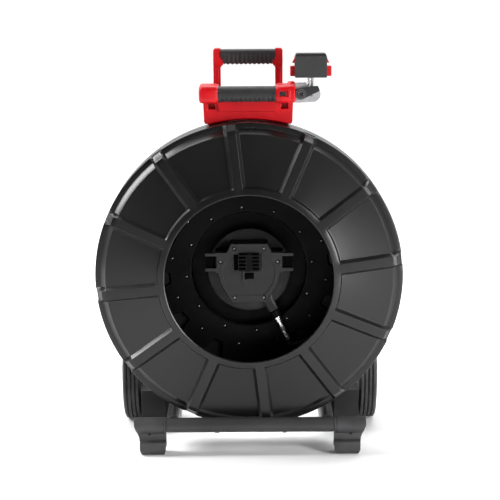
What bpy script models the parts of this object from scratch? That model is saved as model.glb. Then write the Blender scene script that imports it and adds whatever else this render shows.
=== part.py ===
"""Push-cable pipe inspection reel: a drum of push cable on a wheeled tube frame.

Metres, +Z up, +X to the right of a person who stands in front, +Y towards the rear.
The floor is z = 0 and the origin is at the middle of the footprint.
"""

import math

import bmesh
import bpy
from mathutils import Matrix, Vector

# Places
AXLE_Z = 0.336  # drum axis above the floor
RIM_Y = -0.134  # front of the drum rim
GAP = 0.0003  # between pieces that touch

# Drum, with depths measured back from the rim
DRUM_R = 0.290
MOUTH_R = 0.1575
MOUTH_Y = -0.0375
RING_R = 0.170
PANEL_DROP = 0.0045
PANEL_END_R = 0.2705
STEP_END_R = 0.280
FLANGE_DEPTH = 0.0117
DRUM_DEPTH = 0.0785
SHELL_WALL = 0.0035
RIBS = 12
RIB_PHASE = math.radians(6.6)
RIB_TOP = 0.018
RIB_BASE = 0.024
WELL_R = 0.1118
WELL_DEPTH = 0.1015

# Hub, on the drum axis
AXLE_R = 0.0150
BEARING_R = 0.0260
HUB_DISC_R = 0.0805
HUB_Y = (0.0625, 0.0690)
ARM_TILT = math.radians(-63.0)
ARM_SIDE = 0.0055
CABLE_R = 0.0055
COIL_R = (0.192, 0.284)

# Docking station in the middle of the drum
DOCK_Y = (0.0080, 0.0135, 0.0545)
DOCK_ARM_X = 0.0830
SCREW_PLACES = ((0.0281, 0.0508), (0.0541, 0.0256), (0.0277, -0.0434))

# Tube frame
TUBE_R = 0.0140
BAR_Y = -0.0350
BAR_Z = 0.0560
BAR_HALF = 0.1588
RAIL_X = 0.1465
RAIL_END_Y = 0.2450
UPRIGHT_Y = 0.1200
UPRIGHT_X = 0.0592
UPRIGHT_R = 0.0135
BORE_R = 0.0105
UPRIGHT_TOP_Z = 0.5990

# Feet and wheels
FOOT_X = (0.1591, 0.2085, 0.2190)
FOOT_FRONT_Y = -0.0520
WHEEL_Y = 0.2200
WHEEL_R = 0.1000
WHEEL_X = (0.2185, 0.2545)
WHEEL_AXLE_R = 0.0080
BRACKET_X = (0.1670, 0.2145)

# Top bracket and its handles
TOP_X = (-0.0905, 0.0825)
SKIRT_HALF = 0.0845
SKIRT_Y = (0.0300, 0.1400)
SKIRT_TOP_Z = 0.6700
ARM_Z = (0.6622, 0.6950)
ARM_Y = (-0.0200, 0.0460)
GRIP_X = (-0.0545, 0.0505)
GRIP_Y = -0.0050
GRIP_Z = 0.6785
GRIP_R = 0.0148
LEG = (0.0142, 0.0100)
HANDLE_TOP_Z = 0.7565
HANDLE_DOWN_Z = 0.4300
BUTTON_X = (0.0583, 0.0697)
BUTTON_Z = (0.6757, 0.6838)

# Monitor arm
BOSS_X = (0.0733, 0.0871)
BOSS_R = 0.0195
ARM_C = (0.0300, 0.6800)
KNUCKLE_X = (0.0876, 0.1190)
KNUCKLE_Z = (0.6602, 0.6962)
KNUCKLE_Y = (0.0155, 0.0445)
KNUCKLE_END_R = 0.0152
CAM_X = 0.0974
CAM_Z = 0.6772
POST_X = 0.1170
PIVOT_Z = 0.6762
POST_R = 0.0062
HOLDER_X = (0.0870, 0.1465)
HOLDER_Y = (0.0150, 0.0480)
HOLDER_Z = (0.7065, 0.7490)


# Materials


def material(name, colour, roughness, metallic=0.0):
    made = bpy.data.materials.new(name)
    made.use_nodes = True
    shader = made.node_tree.nodes["Principled BSDF"]
    shader.inputs["Base Color"].default_value = (*colour, 1.0)
    shader.inputs["Roughness"].default_value = roughness
    shader.inputs["Metallic"].default_value = metallic
    made.diffuse_color = (*colour, 1.0)
    return made


for old in list(bpy.data.objects):
    bpy.data.objects.remove(old)

LOOKS = {
    "drum_plastic": material("drum_plastic", (0.012, 0.012, 0.013), 0.32),
    "black_plastic": material("black_plastic", (0.02, 0.02, 0.021), 0.45),
    "black_paint": material("black_paint", (0.03, 0.03, 0.031), 0.35),
    "red_plastic": material("red_plastic", (0.60, 0.006, 0.012), 0.35),
    "grip_rubber": material("grip_rubber", (0.025, 0.025, 0.026), 0.65),
    "tyre_rubber": material("tyre_rubber", (0.03, 0.03, 0.03), 0.6),
    "cast_metal": material("cast_metal", (0.45, 0.45, 0.46), 0.4, 1.0),
    "steel": material("steel", (0.62, 0.62, 0.63), 0.3, 1.0),
    "bright_steel": material("bright_steel", (0.80, 0.80, 0.81), 0.12, 1.0),
    "cable_jacket": material("cable_jacket", (0.02, 0.02, 0.022), 0.5),
    "lens": material("lens", (0.02, 0.02, 0.03), 0.05),
    "led_window": material("led_window", (0.9, 0.88, 0.8), 0.2),
    "copper": material("copper", (0.75, 0.40, 0.22), 0.35, 1.0),
}


# Shapes: each returns a bmesh in world coordinates


def at(x, y, z):
    """A point given across, back from the drum rim, and up from the floor."""
    return Vector((x, RIM_Y + y, z))


def skin(rings, closed_ends=True):
    """A solid whose sides join rings of points that have the same number of points."""
    bm = bmesh.new()
    rows = [[bm.verts.new(p) for p in ring] for ring in rings]
    count = len(rows[0])
    for low, high in zip(rows, rows[1:]):
        for i in range(count):
            j = (i + 1) % count
            bm.faces.new((low[i], low[j], high[j], high[i]))
    if closed_ends:
        bm.faces.new(rows[0])
        bm.faces.new(rows[-1])
    bmesh.ops.recalc_face_normals(bm, faces=bm.faces)
    return bm


def turned(profile, axis, centre, steps=64):
    """A ring-shaped or solid turned piece. profile holds (radius, along) points in a loop."""
    along = Vector(axis)
    side = Vector((0, 0, 1)) if abs(along.z) < 0.5 else Vector((1, 0, 0))
    other = along.cross(side).normalized()
    side = other.cross(along)
    bm = bmesh.new()
    columns = []
    on_axis = {}
    for k in range(steps):
        turn = 2 * math.pi * k / steps
        out = side * math.cos(turn) + other * math.sin(turn)
        column = []
        for i, (r, a) in enumerate(profile):
            if r > 0:
                column.append(bm.verts.new(centre + out * r + along * a))
                continue
            if i not in on_axis:
                on_axis[i] = bm.verts.new(centre + along * a)
            column.append(on_axis[i])
        columns.append(column)
    count = len(profile)
    for k in range(steps):
        here, following = columns[k], columns[(k + 1) % steps]
        for i in range(count):
            j = (i + 1) % count
            corners = []
            for v in (here[i], here[j], following[j], following[i]):
                if v not in corners:
                    corners.append(v)
            if len(corners) > 2:
                bm.faces.new(corners)
    bmesh.ops.recalc_face_normals(bm, faces=bm.faces)
    return bm


def rod(radius, start, end, steps=32, hole=0.0):
    """A straight rod, or a tube if it has a hole."""
    start, end = Vector(start), Vector(end)
    length = (end - start).length
    axis = (end - start) / length
    profile = [(hole, 0.0), (radius, 0.0), (radius, length), (hole, length)]
    return turned(profile, axis, start, steps)


def prism(outline, low, high, along="Y"):
    """An outline pushed along an axis. The outline lists the other two coordinates."""
    place = {
        "X": lambda a, b, c: Vector((c, a, b)),
        "Y": lambda a, b, c: Vector((a, c, b)),
        "Z": lambda a, b, c: Vector((a, b, c)),
    }[along]
    return skin([[place(a, b, c) for a, b in outline] for c in (low, high)])


def block(x, y, z):
    """A box from its three ranges, with y measured back from the drum rim."""
    low, high = RIM_Y + min(y), RIM_Y + max(y)
    corners = [(min(x), min(z)), (max(x), min(z)), (max(x), max(z)), (min(x), max(z))]
    return prism(corners, low, high)


def swept(path, radius, sides=16):
    """A round bar along a path of points."""
    points = [Vector(p) for p in path]
    rings = []
    up = Vector((0.0, 1.0, 0.0))
    for i, p in enumerate(points):
        ahead = (points[min(i + 1, len(points) - 1)] - points[max(i - 1, 0)]).normalized()
        if abs(ahead.dot(up)) > 0.9:
            up = Vector((1.0, 0.0, 0.0))
        across = ahead.cross(up).normalized()
        up = across.cross(ahead).normalized()
        ring = []
        for k in range(sides):
            turn = 2 * math.pi * k / sides
            ring.append(p + (across * math.cos(turn) + up * math.sin(turn)) * radius)
        rings.append(ring)
    return skin(rings)


def arc(cx, cz, radius, start, end, steps):
    """Points round an arc, with the angles in degrees."""
    turns = [math.radians(start + (end - start) * k / steps) for k in range(steps + 1)]
    return [(cx + radius * math.cos(t), cz + radius * math.sin(t)) for t in turns]


def smooth_route(points, pieces):
    """A smooth curve through points, with that many pieces between each two."""
    points = [Vector(p) for p in points]
    ends = [2 * points[0] - points[1], *points, 2 * points[-1] - points[-2]]
    out = []
    for a, b, c, d in zip(ends, ends[1:], ends[2:], ends[3:]):
        for k in range(pieces):
            t = k / pieces
            out.append(
                0.5 * (2 * b + (c - a) * t + (2 * a - 5 * b + 4 * c - d) * t * t
                       + (3 * b - a - 3 * c + d) * t ** 3)
            )
    return [*out, points[-1]]


# Objects


def piece(name, bm, look, axis=None, bevel=0.0, segments=2, sharp=35.0):
    """A finished object, placed under its body's axis empty."""
    mesh = bpy.data.meshes.new(name)
    home = axis.location if axis else Vector((0, 0, 0))
    bmesh.ops.translate(bm, verts=bm.verts, vec=-home)
    bm.to_mesh(mesh)
    bm.free()
    mesh.materials.append(LOOKS[look])
    mesh.shade_smooth()
    mesh.set_sharp_from_angle(angle=math.radians(sharp))
    obj = bpy.data.objects.new(name, mesh)
    bpy.context.scene.collection.objects.link(obj)
    obj.parent = axis
    if bevel:
        edge = obj.modifiers.new("edges", "BEVEL")
        edge.width = bevel
        edge.segments = segments
        edge.limit_method = "ANGLE"
        edge.angle_limit = math.radians(40)
    return obj


def combine(obj, others, operation):
    """Joins helper shapes to a piece, or cuts them out of it."""
    for i, bm in enumerate(others):
        helper = piece(f"{obj.name}_{operation.lower()}_{i}", bm, "steel", obj.parent)
        helper.hide_render = True
        helper.display_type = "WIRE"
        step = obj.modifiers.new(operation.lower(), "BOOLEAN")
        step.operation = operation
        step.object = helper
        step.solver = "EXACT"
    return obj


def axis_at(name, place):
    """An empty on the axis of a moving body."""
    empty = bpy.data.objects.new(name, None)
    empty.location = place
    empty.empty_display_size = 0.03
    bpy.context.scene.collection.objects.link(empty)
    return empty


# Drum shells and the cable inside


def rib_line(r):
    """Depth of the rib tops and the inner ring at a radius."""
    return MOUTH_Y + (r - MOUTH_R) * 0.124


def front_shell_rows():
    """(panel radius, panel depth, rib radius, rib depth) from the mouth out and back inside."""
    panel = [
        (MOUTH_R, MOUTH_Y),
        (RING_R, rib_line(RING_R)),
        (RING_R + 0.0016, rib_line(RING_R) + PANEL_DROP),
        (PANEL_END_R - 0.0015, rib_line(PANEL_END_R) + PANEL_DROP - 0.0004),
        (PANEL_END_R, rib_line(PANEL_END_R) + PANEL_DROP + 0.0008),
        (STEP_END_R, -0.0035),
        (DRUM_R - 0.0012, -0.0035),
        (DRUM_R, -0.0010),
        (DRUM_R, FLANGE_DEPTH),
        (DRUM_R - SHELL_WALL, FLANGE_DEPTH),
        (DRUM_R - SHELL_WALL, 0.0015),
        (STEP_END_R - 0.0035, 0.0002),
        (PANEL_END_R - 0.0030, rib_line(PANEL_END_R) + PANEL_DROP + 0.0040),
        (RING_R + 0.0020, rib_line(RING_R) + PANEL_DROP + SHELL_WALL),
        (MOUTH_R, MOUTH_Y + SHELL_WALL),
    ]
    rib = list(panel)
    rib[2] = (panel[2][0], rib_line(panel[2][0]))
    rib[3] = (panel[3][0], rib_line(panel[3][0]))
    rib[4] = (PANEL_END_R + 0.0020, rib_line(PANEL_END_R) + 0.0002)
    rib[5] = (STEP_END_R - 0.0020, rib_line(STEP_END_R) + 0.0018)
    rib[6] = (DRUM_R - 0.0024, -0.0025)
    rib[7] = (DRUM_R - 0.0015, -0.0010)
    rib[8] = (DRUM_R - 0.0015, FLANGE_DEPTH)
    return [(*p, *q) for p, q in zip(panel, rib)]


def front_shell():
    """The front half of the drum: a shallow cone with raised ribs between sunk panels."""
    rings = []
    for panel_r, panel_y, rib_r, rib_y in front_shell_rows():
        ring = []
        for k in range(RIBS):
            middle = RIB_PHASE + 2 * math.pi * k / RIBS
            foot = math.asin(RIB_BASE / 2 / panel_r)
            top = math.asin(RIB_TOP / 2 / rib_r)
            for turn, r, y in (
                (-0.19, panel_r, panel_y),
                (-foot, panel_r, panel_y),
                (-top, rib_r, rib_y),
                (top, rib_r, rib_y),
                (foot, panel_r, panel_y),
                (0.19, panel_r, panel_y),
            ):
                angle = middle + turn
                ring.append(at(r * math.cos(angle), y, AXLE_Z + r * math.sin(angle)))
        rings.append(ring)
    return skin([*rings, rings[0]], closed_ends=False)


def drum_body():
    """Both shells, the hub, the cable and the camera head, which all turn together."""
    axis = axis_at("drum_axis", at(0, 0, AXLE_Z))
    centre = at(0, 0, AXLE_Z)
    back = (0, 1, 0)
    bm = front_shell()
    bmesh.ops.remove_doubles(bm, verts=bm.verts, dist=1e-6)
    bmesh.ops.recalc_face_normals(bm, faces=bm.faces)
    piece("drum_front_shell", bm, "drum_plastic", axis)
    start = FLANGE_DEPTH + 0.0008
    inner = DRUM_DEPTH - SHELL_WALL
    well = WELL_DEPTH - SHELL_WALL
    rear = [
        (DRUM_R, start),
        (DRUM_R, DRUM_DEPTH - 0.003),
        (DRUM_R - 0.003, DRUM_DEPTH),
        (WELL_R + SHELL_WALL, DRUM_DEPTH),
        (WELL_R + SHELL_WALL, WELL_DEPTH),
        (BEARING_R + GAP, WELL_DEPTH),
        (BEARING_R + GAP, well),
        (WELL_R, well),
        (WELL_R, inner - 0.0035),
        (WELL_R + 0.004, inner - 0.0035),
        (WELL_R + 0.004, inner),
        (DRUM_R - SHELL_WALL, inner),
        (DRUM_R - SHELL_WALL, start),
    ]
    piece("drum_rear_shell", turned(rear, back, centre, 72), "drum_plastic", axis)

    hub = [
        (BEARING_R + GAP, HUB_Y[0]),
        (HUB_DISC_R - 0.002, HUB_Y[0]),
        (HUB_DISC_R, HUB_Y[0] + 0.002),
        (HUB_DISC_R, HUB_Y[1]),
        (0.040, HUB_Y[1]),
        (0.040, well - GAP),
        (BEARING_R + GAP, well - GAP),
    ]
    disc = piece("hub_disc", turned(hub, back, centre, 36), "black_plastic", axis)
    ahead = Vector((math.cos(ARM_TILT), 0, math.sin(ARM_TILT)))
    beside = Vector((-math.sin(ARM_TILT), 0, math.cos(ARM_TILT)))
    line = centre + Vector((0, 0.0610, 0)) + beside * ARM_SIDE

    def along_arm(t):
        return line + ahead * t

    half = 0.0102
    arm = []
    for t in (0.060, 0.0930):
        middle = along_arm(t)
        arm.append([
            middle + beside * half * s + Vector((0, 0.0060 * d, 0))
            for s, d in ((1, 1), (-1, 1), (-1, -1), (1, -1))
        ])
    combine(disc, [skin(arm)], "UNION")
    piece("arm_collar", rod(0.0096, along_arm(0.0933), along_arm(0.1055), 16), "black_plastic",
          axis)
    fitting = [(0, 0), (0.0058, 0), (0.0058, 0.008), (0.0050, 0.010), (0.0043, 0.0190), (0, 0.0190)]
    piece("cable_connector", turned(fitting, ahead, along_arm(0.1058), 12), "bright_steel", axis)
    piece("connector_spring", rod(0.0048, along_arm(0.1251), along_arm(0.1570), 12), "steel", axis)

    for name, y in (("bearing_front", (0.0640, 0.0750)), ("bearing_rear", (0.0880, 0.0990))):
        piece(name, rod(BEARING_R, at(0, y[0], AXLE_Z), at(0, y[1], AXLE_Z), 24, AXLE_R + GAP),
              "steel", axis)
    piece("slip_ring_rotor",
          rod(BEARING_R - 0.001, at(0, 0.0755, AXLE_Z), at(0, 0.0875, AXLE_Z), 24, AXLE_R + 0.004),
          "copper", axis)
    cable_body(axis, centre, along_arm)


def cable_body(axis, centre, along_arm):
    """The wound push cable, its two ends, and the camera head clipped behind the mouth's lip."""
    low, high = COIL_R
    coil = [
        (low, -0.0200),
        (high - 0.024, -0.0120),
        (high - 0.016, -0.0030),
        (high, 0.0060),
        (high, 0.0700),
        (low, 0.0700),
    ]
    piece("push_cable_coil", turned(coil, (0, 1, 0), centre, 48), "cable_jacket", axis)

    def polar(r, degrees, y):
        turn = math.radians(degrees)
        return centre + Vector((r * math.cos(turn), y, r * math.sin(turn)))

    lead = [along_arm(0.1582), along_arm(0.1640), along_arm(0.1690), polar(0.1800, -49, 0.060),
            polar(0.1850, -38, 0.058), polar(0.1860, -26, 0.055), polar(0.1860, -12, 0.052)]
    piece("push_cable_lead", swept(smooth_route(lead, 4), CABLE_R, 8), "cable_jacket", axis)

    middle = 104.0
    r = 0.1710
    y = 0.0120
    turn = math.radians(middle)
    tangent = Vector((math.sin(turn), 0, -math.cos(turn)))
    spot = polar(r, middle, y) + tangent * 0.034
    head = [(0, 0), (0.0125, 0), (0.0140, 0.0015), (0.0140, 0.030), (0.0090, 0.036), (0, 0.036)]
    piece("camera_head", turned(head, -tangent, spot, 20), "bright_steel", axis)
    window = [(0.0068, GAP), (0.0120, GAP), (0.0112, 0.0030), (0.0068, 0.0030)]
    piece("camera_led_ring", turned(window, tangent, spot, 16), "led_window", axis)
    glass = [(0, GAP), (0.0062, GAP), (0.0058, 0.0040), (0, 0.0048)]
    piece("camera_lens", turned(glass, tangent, spot, 12), "lens", axis)
    tail = spot - tangent * (0.036 + GAP)
    piece("camera_spring", rod(0.0068, tail, tail - tangent * 0.030, 12), "steel", axis)
    end = tail - tangent * 0.0315
    rest = [end, end - tangent * 0.010, polar(0.1815, 130, y + 0.004), polar(0.1855, 142, y + 0.008),
            polar(0.1860, 156, y + 0.012)]
    piece("push_cable_tail", swept(smooth_route(rest, 4), CABLE_R, 8), "cable_jacket", axis)


# Fixed middle of the drum: axle and docking station


def dock_outline(grow=0.0):
    """The docking cover seen from the front, round the drum axis."""
    right = [
        (0.0336, 0.0591),
        (0.0418, 0.0426),
        (0.0622, 0.0426),
        (0.0622, 0.0052),
        (0.0578, 0.0048),
        (0.0545, -0.0110),
        (0.0470, -0.0270),
        (0.0322, -0.0506),
    ]
    right = [(x + grow, z + math.copysign(grow, z)) for x, z in right]
    left = [(-x, z) for x, z in reversed(right)]
    return [(x, AXLE_Z + z) for x, z in right + left]


def dock():
    """The cover, the housing behind it, the terminal block and the screws."""
    front, joint, rear = DOCK_Y
    axle_cut = rod(AXLE_R + GAP, at(0, joint + 0.02, AXLE_Z), at(0, rear + 0.01, AXLE_Z), 24)
    box = piece("dock_housing",
                prism(dock_outline(0.0015), RIM_Y + joint + GAP, RIM_Y + rear), "black_plastic")
    combine(box, [axle_cut], "DIFFERENCE")
    rails = []
    for side in (-1, 1):
        for low, high in ((0.0372, 0.0414), (0.0080, 0.0130)):
            rails.append(block((side * 0.0600, side * DOCK_ARM_X), (front, joint),
                               (AXLE_Z + low, AXLE_Z + high)))
    holes = []
    spots = [(side * x, AXLE_Z + z) for x, z in SCREW_PLACES for side in (-1, 1)]
    for x, z in spots:
        well = [(0, -0.001), (0.0046, -0.001), (0.0046, 0.0022), (0.0022, 0.0022), (0.0022, 0.007),
                (0, 0.007)]
        holes.append(turned(well, (0, 1, 0), at(x, front, z), 10))
    cover = piece("dock_cover", prism(dock_outline(), RIM_Y + front, RIM_Y + joint), "black_plastic")
    combine(cover, rails, "UNION")
    combine(cover, holes, "DIFFERENCE")
    for i, (x, z) in enumerate(spots):
        screw = [(0, 0), (0.0026, 0), (0.0033, 0.0008), (0.0033, 0.0018), (0.0019, 0.0018),
                 (0.0019, 0.0052), (0, 0.0052)]
        piece(f"dock_screw_{i + 1}", turned(screw, (0, 1, 0), at(x, front + 0.0001, z), 10), "steel")

    fins = 5
    low, high = 0.0096, 0.0412
    pitch = (high - low) / (fins - 0.45)
    side = [(0.0060, low)]
    for k in range(fins):
        z = low + k * pitch
        side += [(0.0190, z), (0.0190, z + pitch * 0.55), (0.0060, z + pitch * 0.55)]
        if k < fins - 1:
            side.append((0.0060, z + pitch))
    outline = side + [(-x, z) for x, z in reversed(side)]
    outline = [(x, AXLE_Z + z) for x, z in outline]
    piece("terminal_block", prism(outline, RIM_Y + front - 0.012, RIM_Y + front - GAP),
          "black_plastic")


def hub_axle():
    """The fixed axle, with the slip ring's still half, and the plate that holds it."""
    y = DOCK_Y[1] + 0.0206
    plate_front = 0.1040
    piece("hub_axle", rod(AXLE_R, at(0, y, AXLE_Z), at(0, plate_front - GAP, AXLE_Z), 24, 0.006),
          "steel")
    piece("slip_ring_stator",
          rod(AXLE_R + 0.0035, at(0, 0.0765, AXLE_Z), at(0, 0.0865, AXLE_Z), 24, AXLE_R + GAP),
          "black_plastic")
    piece("axle_plate", block((-0.105, 0.105), (plate_front, plate_front + 0.0022),
                              (AXLE_Z - 0.045, AXLE_Z + 0.045)), "black_paint", bevel=0.0006)


# Tube frame, feet and wheels


def upright_route(side):
    """Middle line of one rear upright, from the side rail up to the top bracket."""
    points = []
    low, high = 0.215, 0.455
    start = BAR_Z + TUBE_R + GAP
    for z in (start, 0.12, 0.17):
        points.append((RAIL_X, z))
    steps = 10
    for k in range(steps + 1):
        t = k / steps
        ease = t * t * (3 - 2 * t)
        points.append((RAIL_X + (UPRIGHT_X - RAIL_X) * ease, low + (high - low) * t))
    points += [(UPRIGHT_X, 0.50), (UPRIGHT_X, UPRIGHT_TOP_Z)]
    return [at(side * x, UPRIGHT_Y, z) for x, z in points]


def foot_profile():
    """Side view of a foot: depth back from the drum rim, and height."""
    roll = arc(BAR_Y, BAR_Z, TUBE_R + 0.0002, 200, 0, 10)
    front = FOOT_FRONT_Y
    return [
        (front + 0.0095, 0.0),
        (front, 0.0100),
        (front, 0.0285),
        (front + 0.0032, 0.0345),
        *roll,
        (BAR_Y + 0.0135, 0.0300),
        (BAR_Y + 0.0190, 0.0120),
        (BAR_Y + 0.0190, 0.0),
    ]


def foot(side):
    inner, low_outer, high_outer = FOOT_X
    rings = []
    for outward in (False, True):
        ring = []
        for y, z in foot_profile():
            widen = min(max((z - 0.028) / 0.030, 0.0), 1.0)
            x = low_outer + (high_outer - low_outer) * widen if outward else inner
            ring.append(at(side * x, y, z))
        rings.append(ring)
    return skin(rings)


def wheel_bracket(side):
    """The moulded box between the side rail and the wheel, which carries the wheel axle."""
    outline = [
        (0.1000, 0.0180),
        (0.1000, 0.0860),
        (0.1850, 0.0860),
        (0.2000, 0.1180),
        (0.2400, 0.1180),
        (0.2600, 0.0860),
        (0.2600, 0.0180),
    ]
    outline = [(RIM_Y + y, z) for y, z in outline]
    low, high = sorted(side * x for x in BRACKET_X)
    name = "left" if side < 0 else "right"
    box = piece(f"wheel_bracket_{name}", prism(outline, low, high, "X"), "black_plastic")
    hole = rod(WHEEL_AXLE_R + GAP, at(side * 0.15, WHEEL_Y, WHEEL_R), at(side * 0.23, WHEEL_Y, WHEEL_R),
               16)
    combine(box, [hole], "DIFFERENCE")


def wheel(side):
    """A moulded wheel with a ribbed rubber tyre, and the cap that keeps it on the axle."""
    name = "left" if side < 0 else "right"
    axis = axis_at(f"wheel_{name}_axis", at(side * sum(WHEEL_X) / 2, WHEEL_Y, WHEEL_R))
    inner, outer = WHEEL_X
    width = outer - inner
    start = at(side * inner, WHEEL_Y, WHEEL_R)
    out = (side, 0, 0)
    seat = 0.0740
    ribs = 4
    tread = [(seat + GAP, 0.002), (WHEEL_R - 0.010, 0.0), (WHEEL_R - 0.0035, 0.0020)]
    pitch = (width - 0.004) / ribs
    for k in range(ribs):
        low = 0.002 + k * pitch
        tread += [(WHEEL_R, low + pitch * 0.22), (WHEEL_R, low + pitch * 0.78)]
        if k < ribs - 1:
            tread.append((WHEEL_R - 0.0035, low + pitch))
    tread += [(WHEEL_R - 0.0035, width - 0.002), (WHEEL_R - 0.010, width), (seat + GAP, width - 0.002)]
    piece(f"tyre_{name}", turned(tread, out, start, 48), "tyre_rubber", axis)
    rim = [
        (WHEEL_AXLE_R + GAP, 0.001),
        (0.0200, 0.001),
        (0.0200, 0.0120),
        (0.0660, 0.0120),
        (0.0700, 0.0040),
        (seat, 0.0040),
        (seat, width - 0.004),
        (0.0700, width - 0.004),
        (0.0660, width - 0.0120),
        (0.0200, width - 0.0120),
        (0.0200, width - 0.001),
        (WHEEL_AXLE_R + GAP, width - 0.001),
    ]
    piece(f"wheel_rim_{name}", turned(rim, out, start, 32), "black_plastic", axis)
    cap = [(0, 0.0), (0.0140, 0.0), (0.0140, 0.003), (0.0100, 0.006), (0, 0.0065)]
    end = at(side * (outer + 0.0008), WHEEL_Y, WHEEL_R)
    piece(f"wheel_cap_{name}", turned(cap, out, end, 16), "black_plastic")


def frame_body():
    """Crossbar, side rails, uprights, feet and wheel brackets: the part that stands still."""
    piece("front_crossbar", rod(TUBE_R, at(-BAR_HALF, BAR_Y, BAR_Z), at(BAR_HALF, BAR_Y, BAR_Z), 24),
          "black_paint")
    for side, name in ((-1, "left"), (1, "right")):
        start = BAR_Y + TUBE_R + GAP
        piece(f"side_rail_{name}",
              rod(TUBE_R, at(side * RAIL_X, start, BAR_Z), at(side * RAIL_X, RAIL_END_Y, BAR_Z), 24),
              "black_paint")
        tube = piece(f"upright_{name}", swept(upright_route(side), UPRIGHT_R, 14), "black_paint")
        bore = rod(BORE_R, at(side * UPRIGHT_X, UPRIGHT_Y, HANDLE_DOWN_Z - 0.006),
                   at(side * UPRIGHT_X, UPRIGHT_Y, UPRIGHT_TOP_Z + 0.01), 16)
        combine(tube, [bore], "DIFFERENCE")
        piece(f"foot_{name}", foot(side), "black_plastic", bevel=0.0012)
        wheel_bracket(side)
        wheel(side)
    reach = WHEEL_X[1] + 0.0005
    piece("wheel_axle", rod(WHEEL_AXLE_R, at(-reach, WHEEL_Y, WHEEL_R), at(reach, WHEEL_Y, WHEEL_R), 16),
          "steel")


# Top bracket, its front grip, the release button and the sliding handle


def bracket_skirt():
    """Front view of the bracket's lower part, whose underside follows the drum."""
    clear = DRUM_R + 0.0042
    half = 0.0770
    start = math.degrees(math.acos(half / clear))
    under = arc(0, AXLE_Z, clear, start, 180 - start, 12)
    return [
        *under,
        (-half - 0.0035, under[-1][1]),
        (-SKIRT_HALF, under[-1][1] + 0.0040),
        (-SKIRT_HALF, SKIRT_TOP_Z),
        (SKIRT_HALF, SKIRT_TOP_Z),
        (SKIRT_HALF, under[0][1] + 0.0040),
        (half + 0.0035, under[0][1]),
    ]


def top_bracket():
    """The red moulding that bridges the drum, with sockets for the uprights behind it."""
    body = piece("top_bracket",
                 prism(bracket_skirt(), RIM_Y + SKIRT_Y[0], RIM_Y + SKIRT_Y[1]), "red_plastic")
    left_x, right_x = (TOP_X[0], GRIP_X[0] - GAP), (GRIP_X[1] + GAP, TOP_X[1])
    joined = [block(x, ARM_Y, ARM_Z) for x in (left_x, right_x)]
    joined.append(rod(BOSS_R, at(BOSS_X[0], ARM_C[0], ARM_C[1]), at(BOSS_X[1], ARM_C[0], ARM_C[1]), 24))
    joined.append(rod(0.0085, at(GRIP_X[0] - 0.01, GRIP_Y, GRIP_Z), at(GRIP_X[1] + 0.01, GRIP_Y, GRIP_Z),
                      16))
    for side in (-1, 1):
        x = side * UPRIGHT_X
        joined.append(block((x - 0.018, x + 0.018), (UPRIGHT_Y - 0.018, UPRIGHT_Y + 0.018),
                            (UPRIGHT_TOP_Z + GAP, 0.640)))
    combine(body, joined, "UNION")
    cuts = [block((-0.0530, 0.0490), (SKIRT_Y[0] - 0.01, 0.0520), (ARM_Z[0], 0.70))]
    for side in (-1, 1):
        x = side * UPRIGHT_X
        half_x, half_y = LEG[0] / 2 + 0.0004, LEG[1] / 2 + 0.0004
        cuts.append(block((x - half_x, x + half_x), (UPRIGHT_Y - half_y, UPRIGHT_Y + half_y),
                          (0.58, 0.70)))
    cuts.append(block((BUTTON_X[0] - 0.0004, BUTTON_X[1] + 0.0004), (ARM_Y[0] - 0.01, -0.0040),
                      (BUTTON_Z[0] - 0.0004, BUTTON_Z[1] + 0.0004)))
    combine(body, cuts, "DIFFERENCE")
    piece("front_grip", rod(GRIP_R, at(GRIP_X[0], GRIP_Y, GRIP_Z), at(GRIP_X[1], GRIP_Y, GRIP_Z), 24,
                            0.0085 + GAP), "grip_rubber")
    axis = axis_at("button_axis", at(sum(BUTTON_X) / 2, ARM_Y[0], sum(BUTTON_Z) / 2))
    piece("release_button", block(BUTTON_X, (ARM_Y[0] + 0.0015, -0.0085), BUTTON_Z), "black_plastic",
          axis, bevel=0.0005)


def sliding_handle():
    """The red handle on two legs that slide in the uprights, with its rubber grip."""
    axis = axis_at("handle_axis", at(0, UPRIGHT_Y, HANDLE_TOP_Z))
    outer = UPRIGHT_X + LEG[0] / 2
    inner = UPRIGHT_X - LEG[0] / 2
    top = HANDLE_TOP_Z
    core = (top - 0.0220, top - 0.0080)
    outline = [
        (-outer, HANDLE_DOWN_Z),
        (-inner, HANDLE_DOWN_Z),
        (-inner, core[0]),
        (inner, core[0]),
        (inner, HANDLE_DOWN_Z),
        (outer, HANDLE_DOWN_Z),
        (outer, top - 0.002),
        (outer - 0.002, top),
        (inner, top),
        (inner, core[1]),
        (-inner, core[1]),
        (-inner, top),
        (-outer + 0.002, top),
        (-outer, top - 0.002),
    ]
    y = RIM_Y + UPRIGHT_Y
    piece("handle_frame", prism(outline, y - LEG[1] / 2, y + LEG[1] / 2), "red_plastic", axis)
    length = inner - GAP
    section = []
    for cx, cz, start in ((0.0085, 0.0025, 0), (-0.0085, 0.0025, 90), (-0.0085, -0.0085, 180),
                          (0.0085, -0.0085, 270)):
        section += arc(RIM_Y + UPRIGHT_Y + cx, top - 0.0100 + cz - 0.0020, 0.0075, start, start + 90, 5)
    grip = piece("handle_grip", prism(section, -length, length, "X"), "grip_rubber", axis)
    hole = block((-0.07, 0.07), (UPRIGHT_Y - LEG[1] / 2 - GAP, UPRIGHT_Y + LEG[1] / 2 + GAP),
                 (core[0] - GAP, core[1] + GAP))
    combine(grip, [hole], "DIFFERENCE")


# Monitor arm


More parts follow.
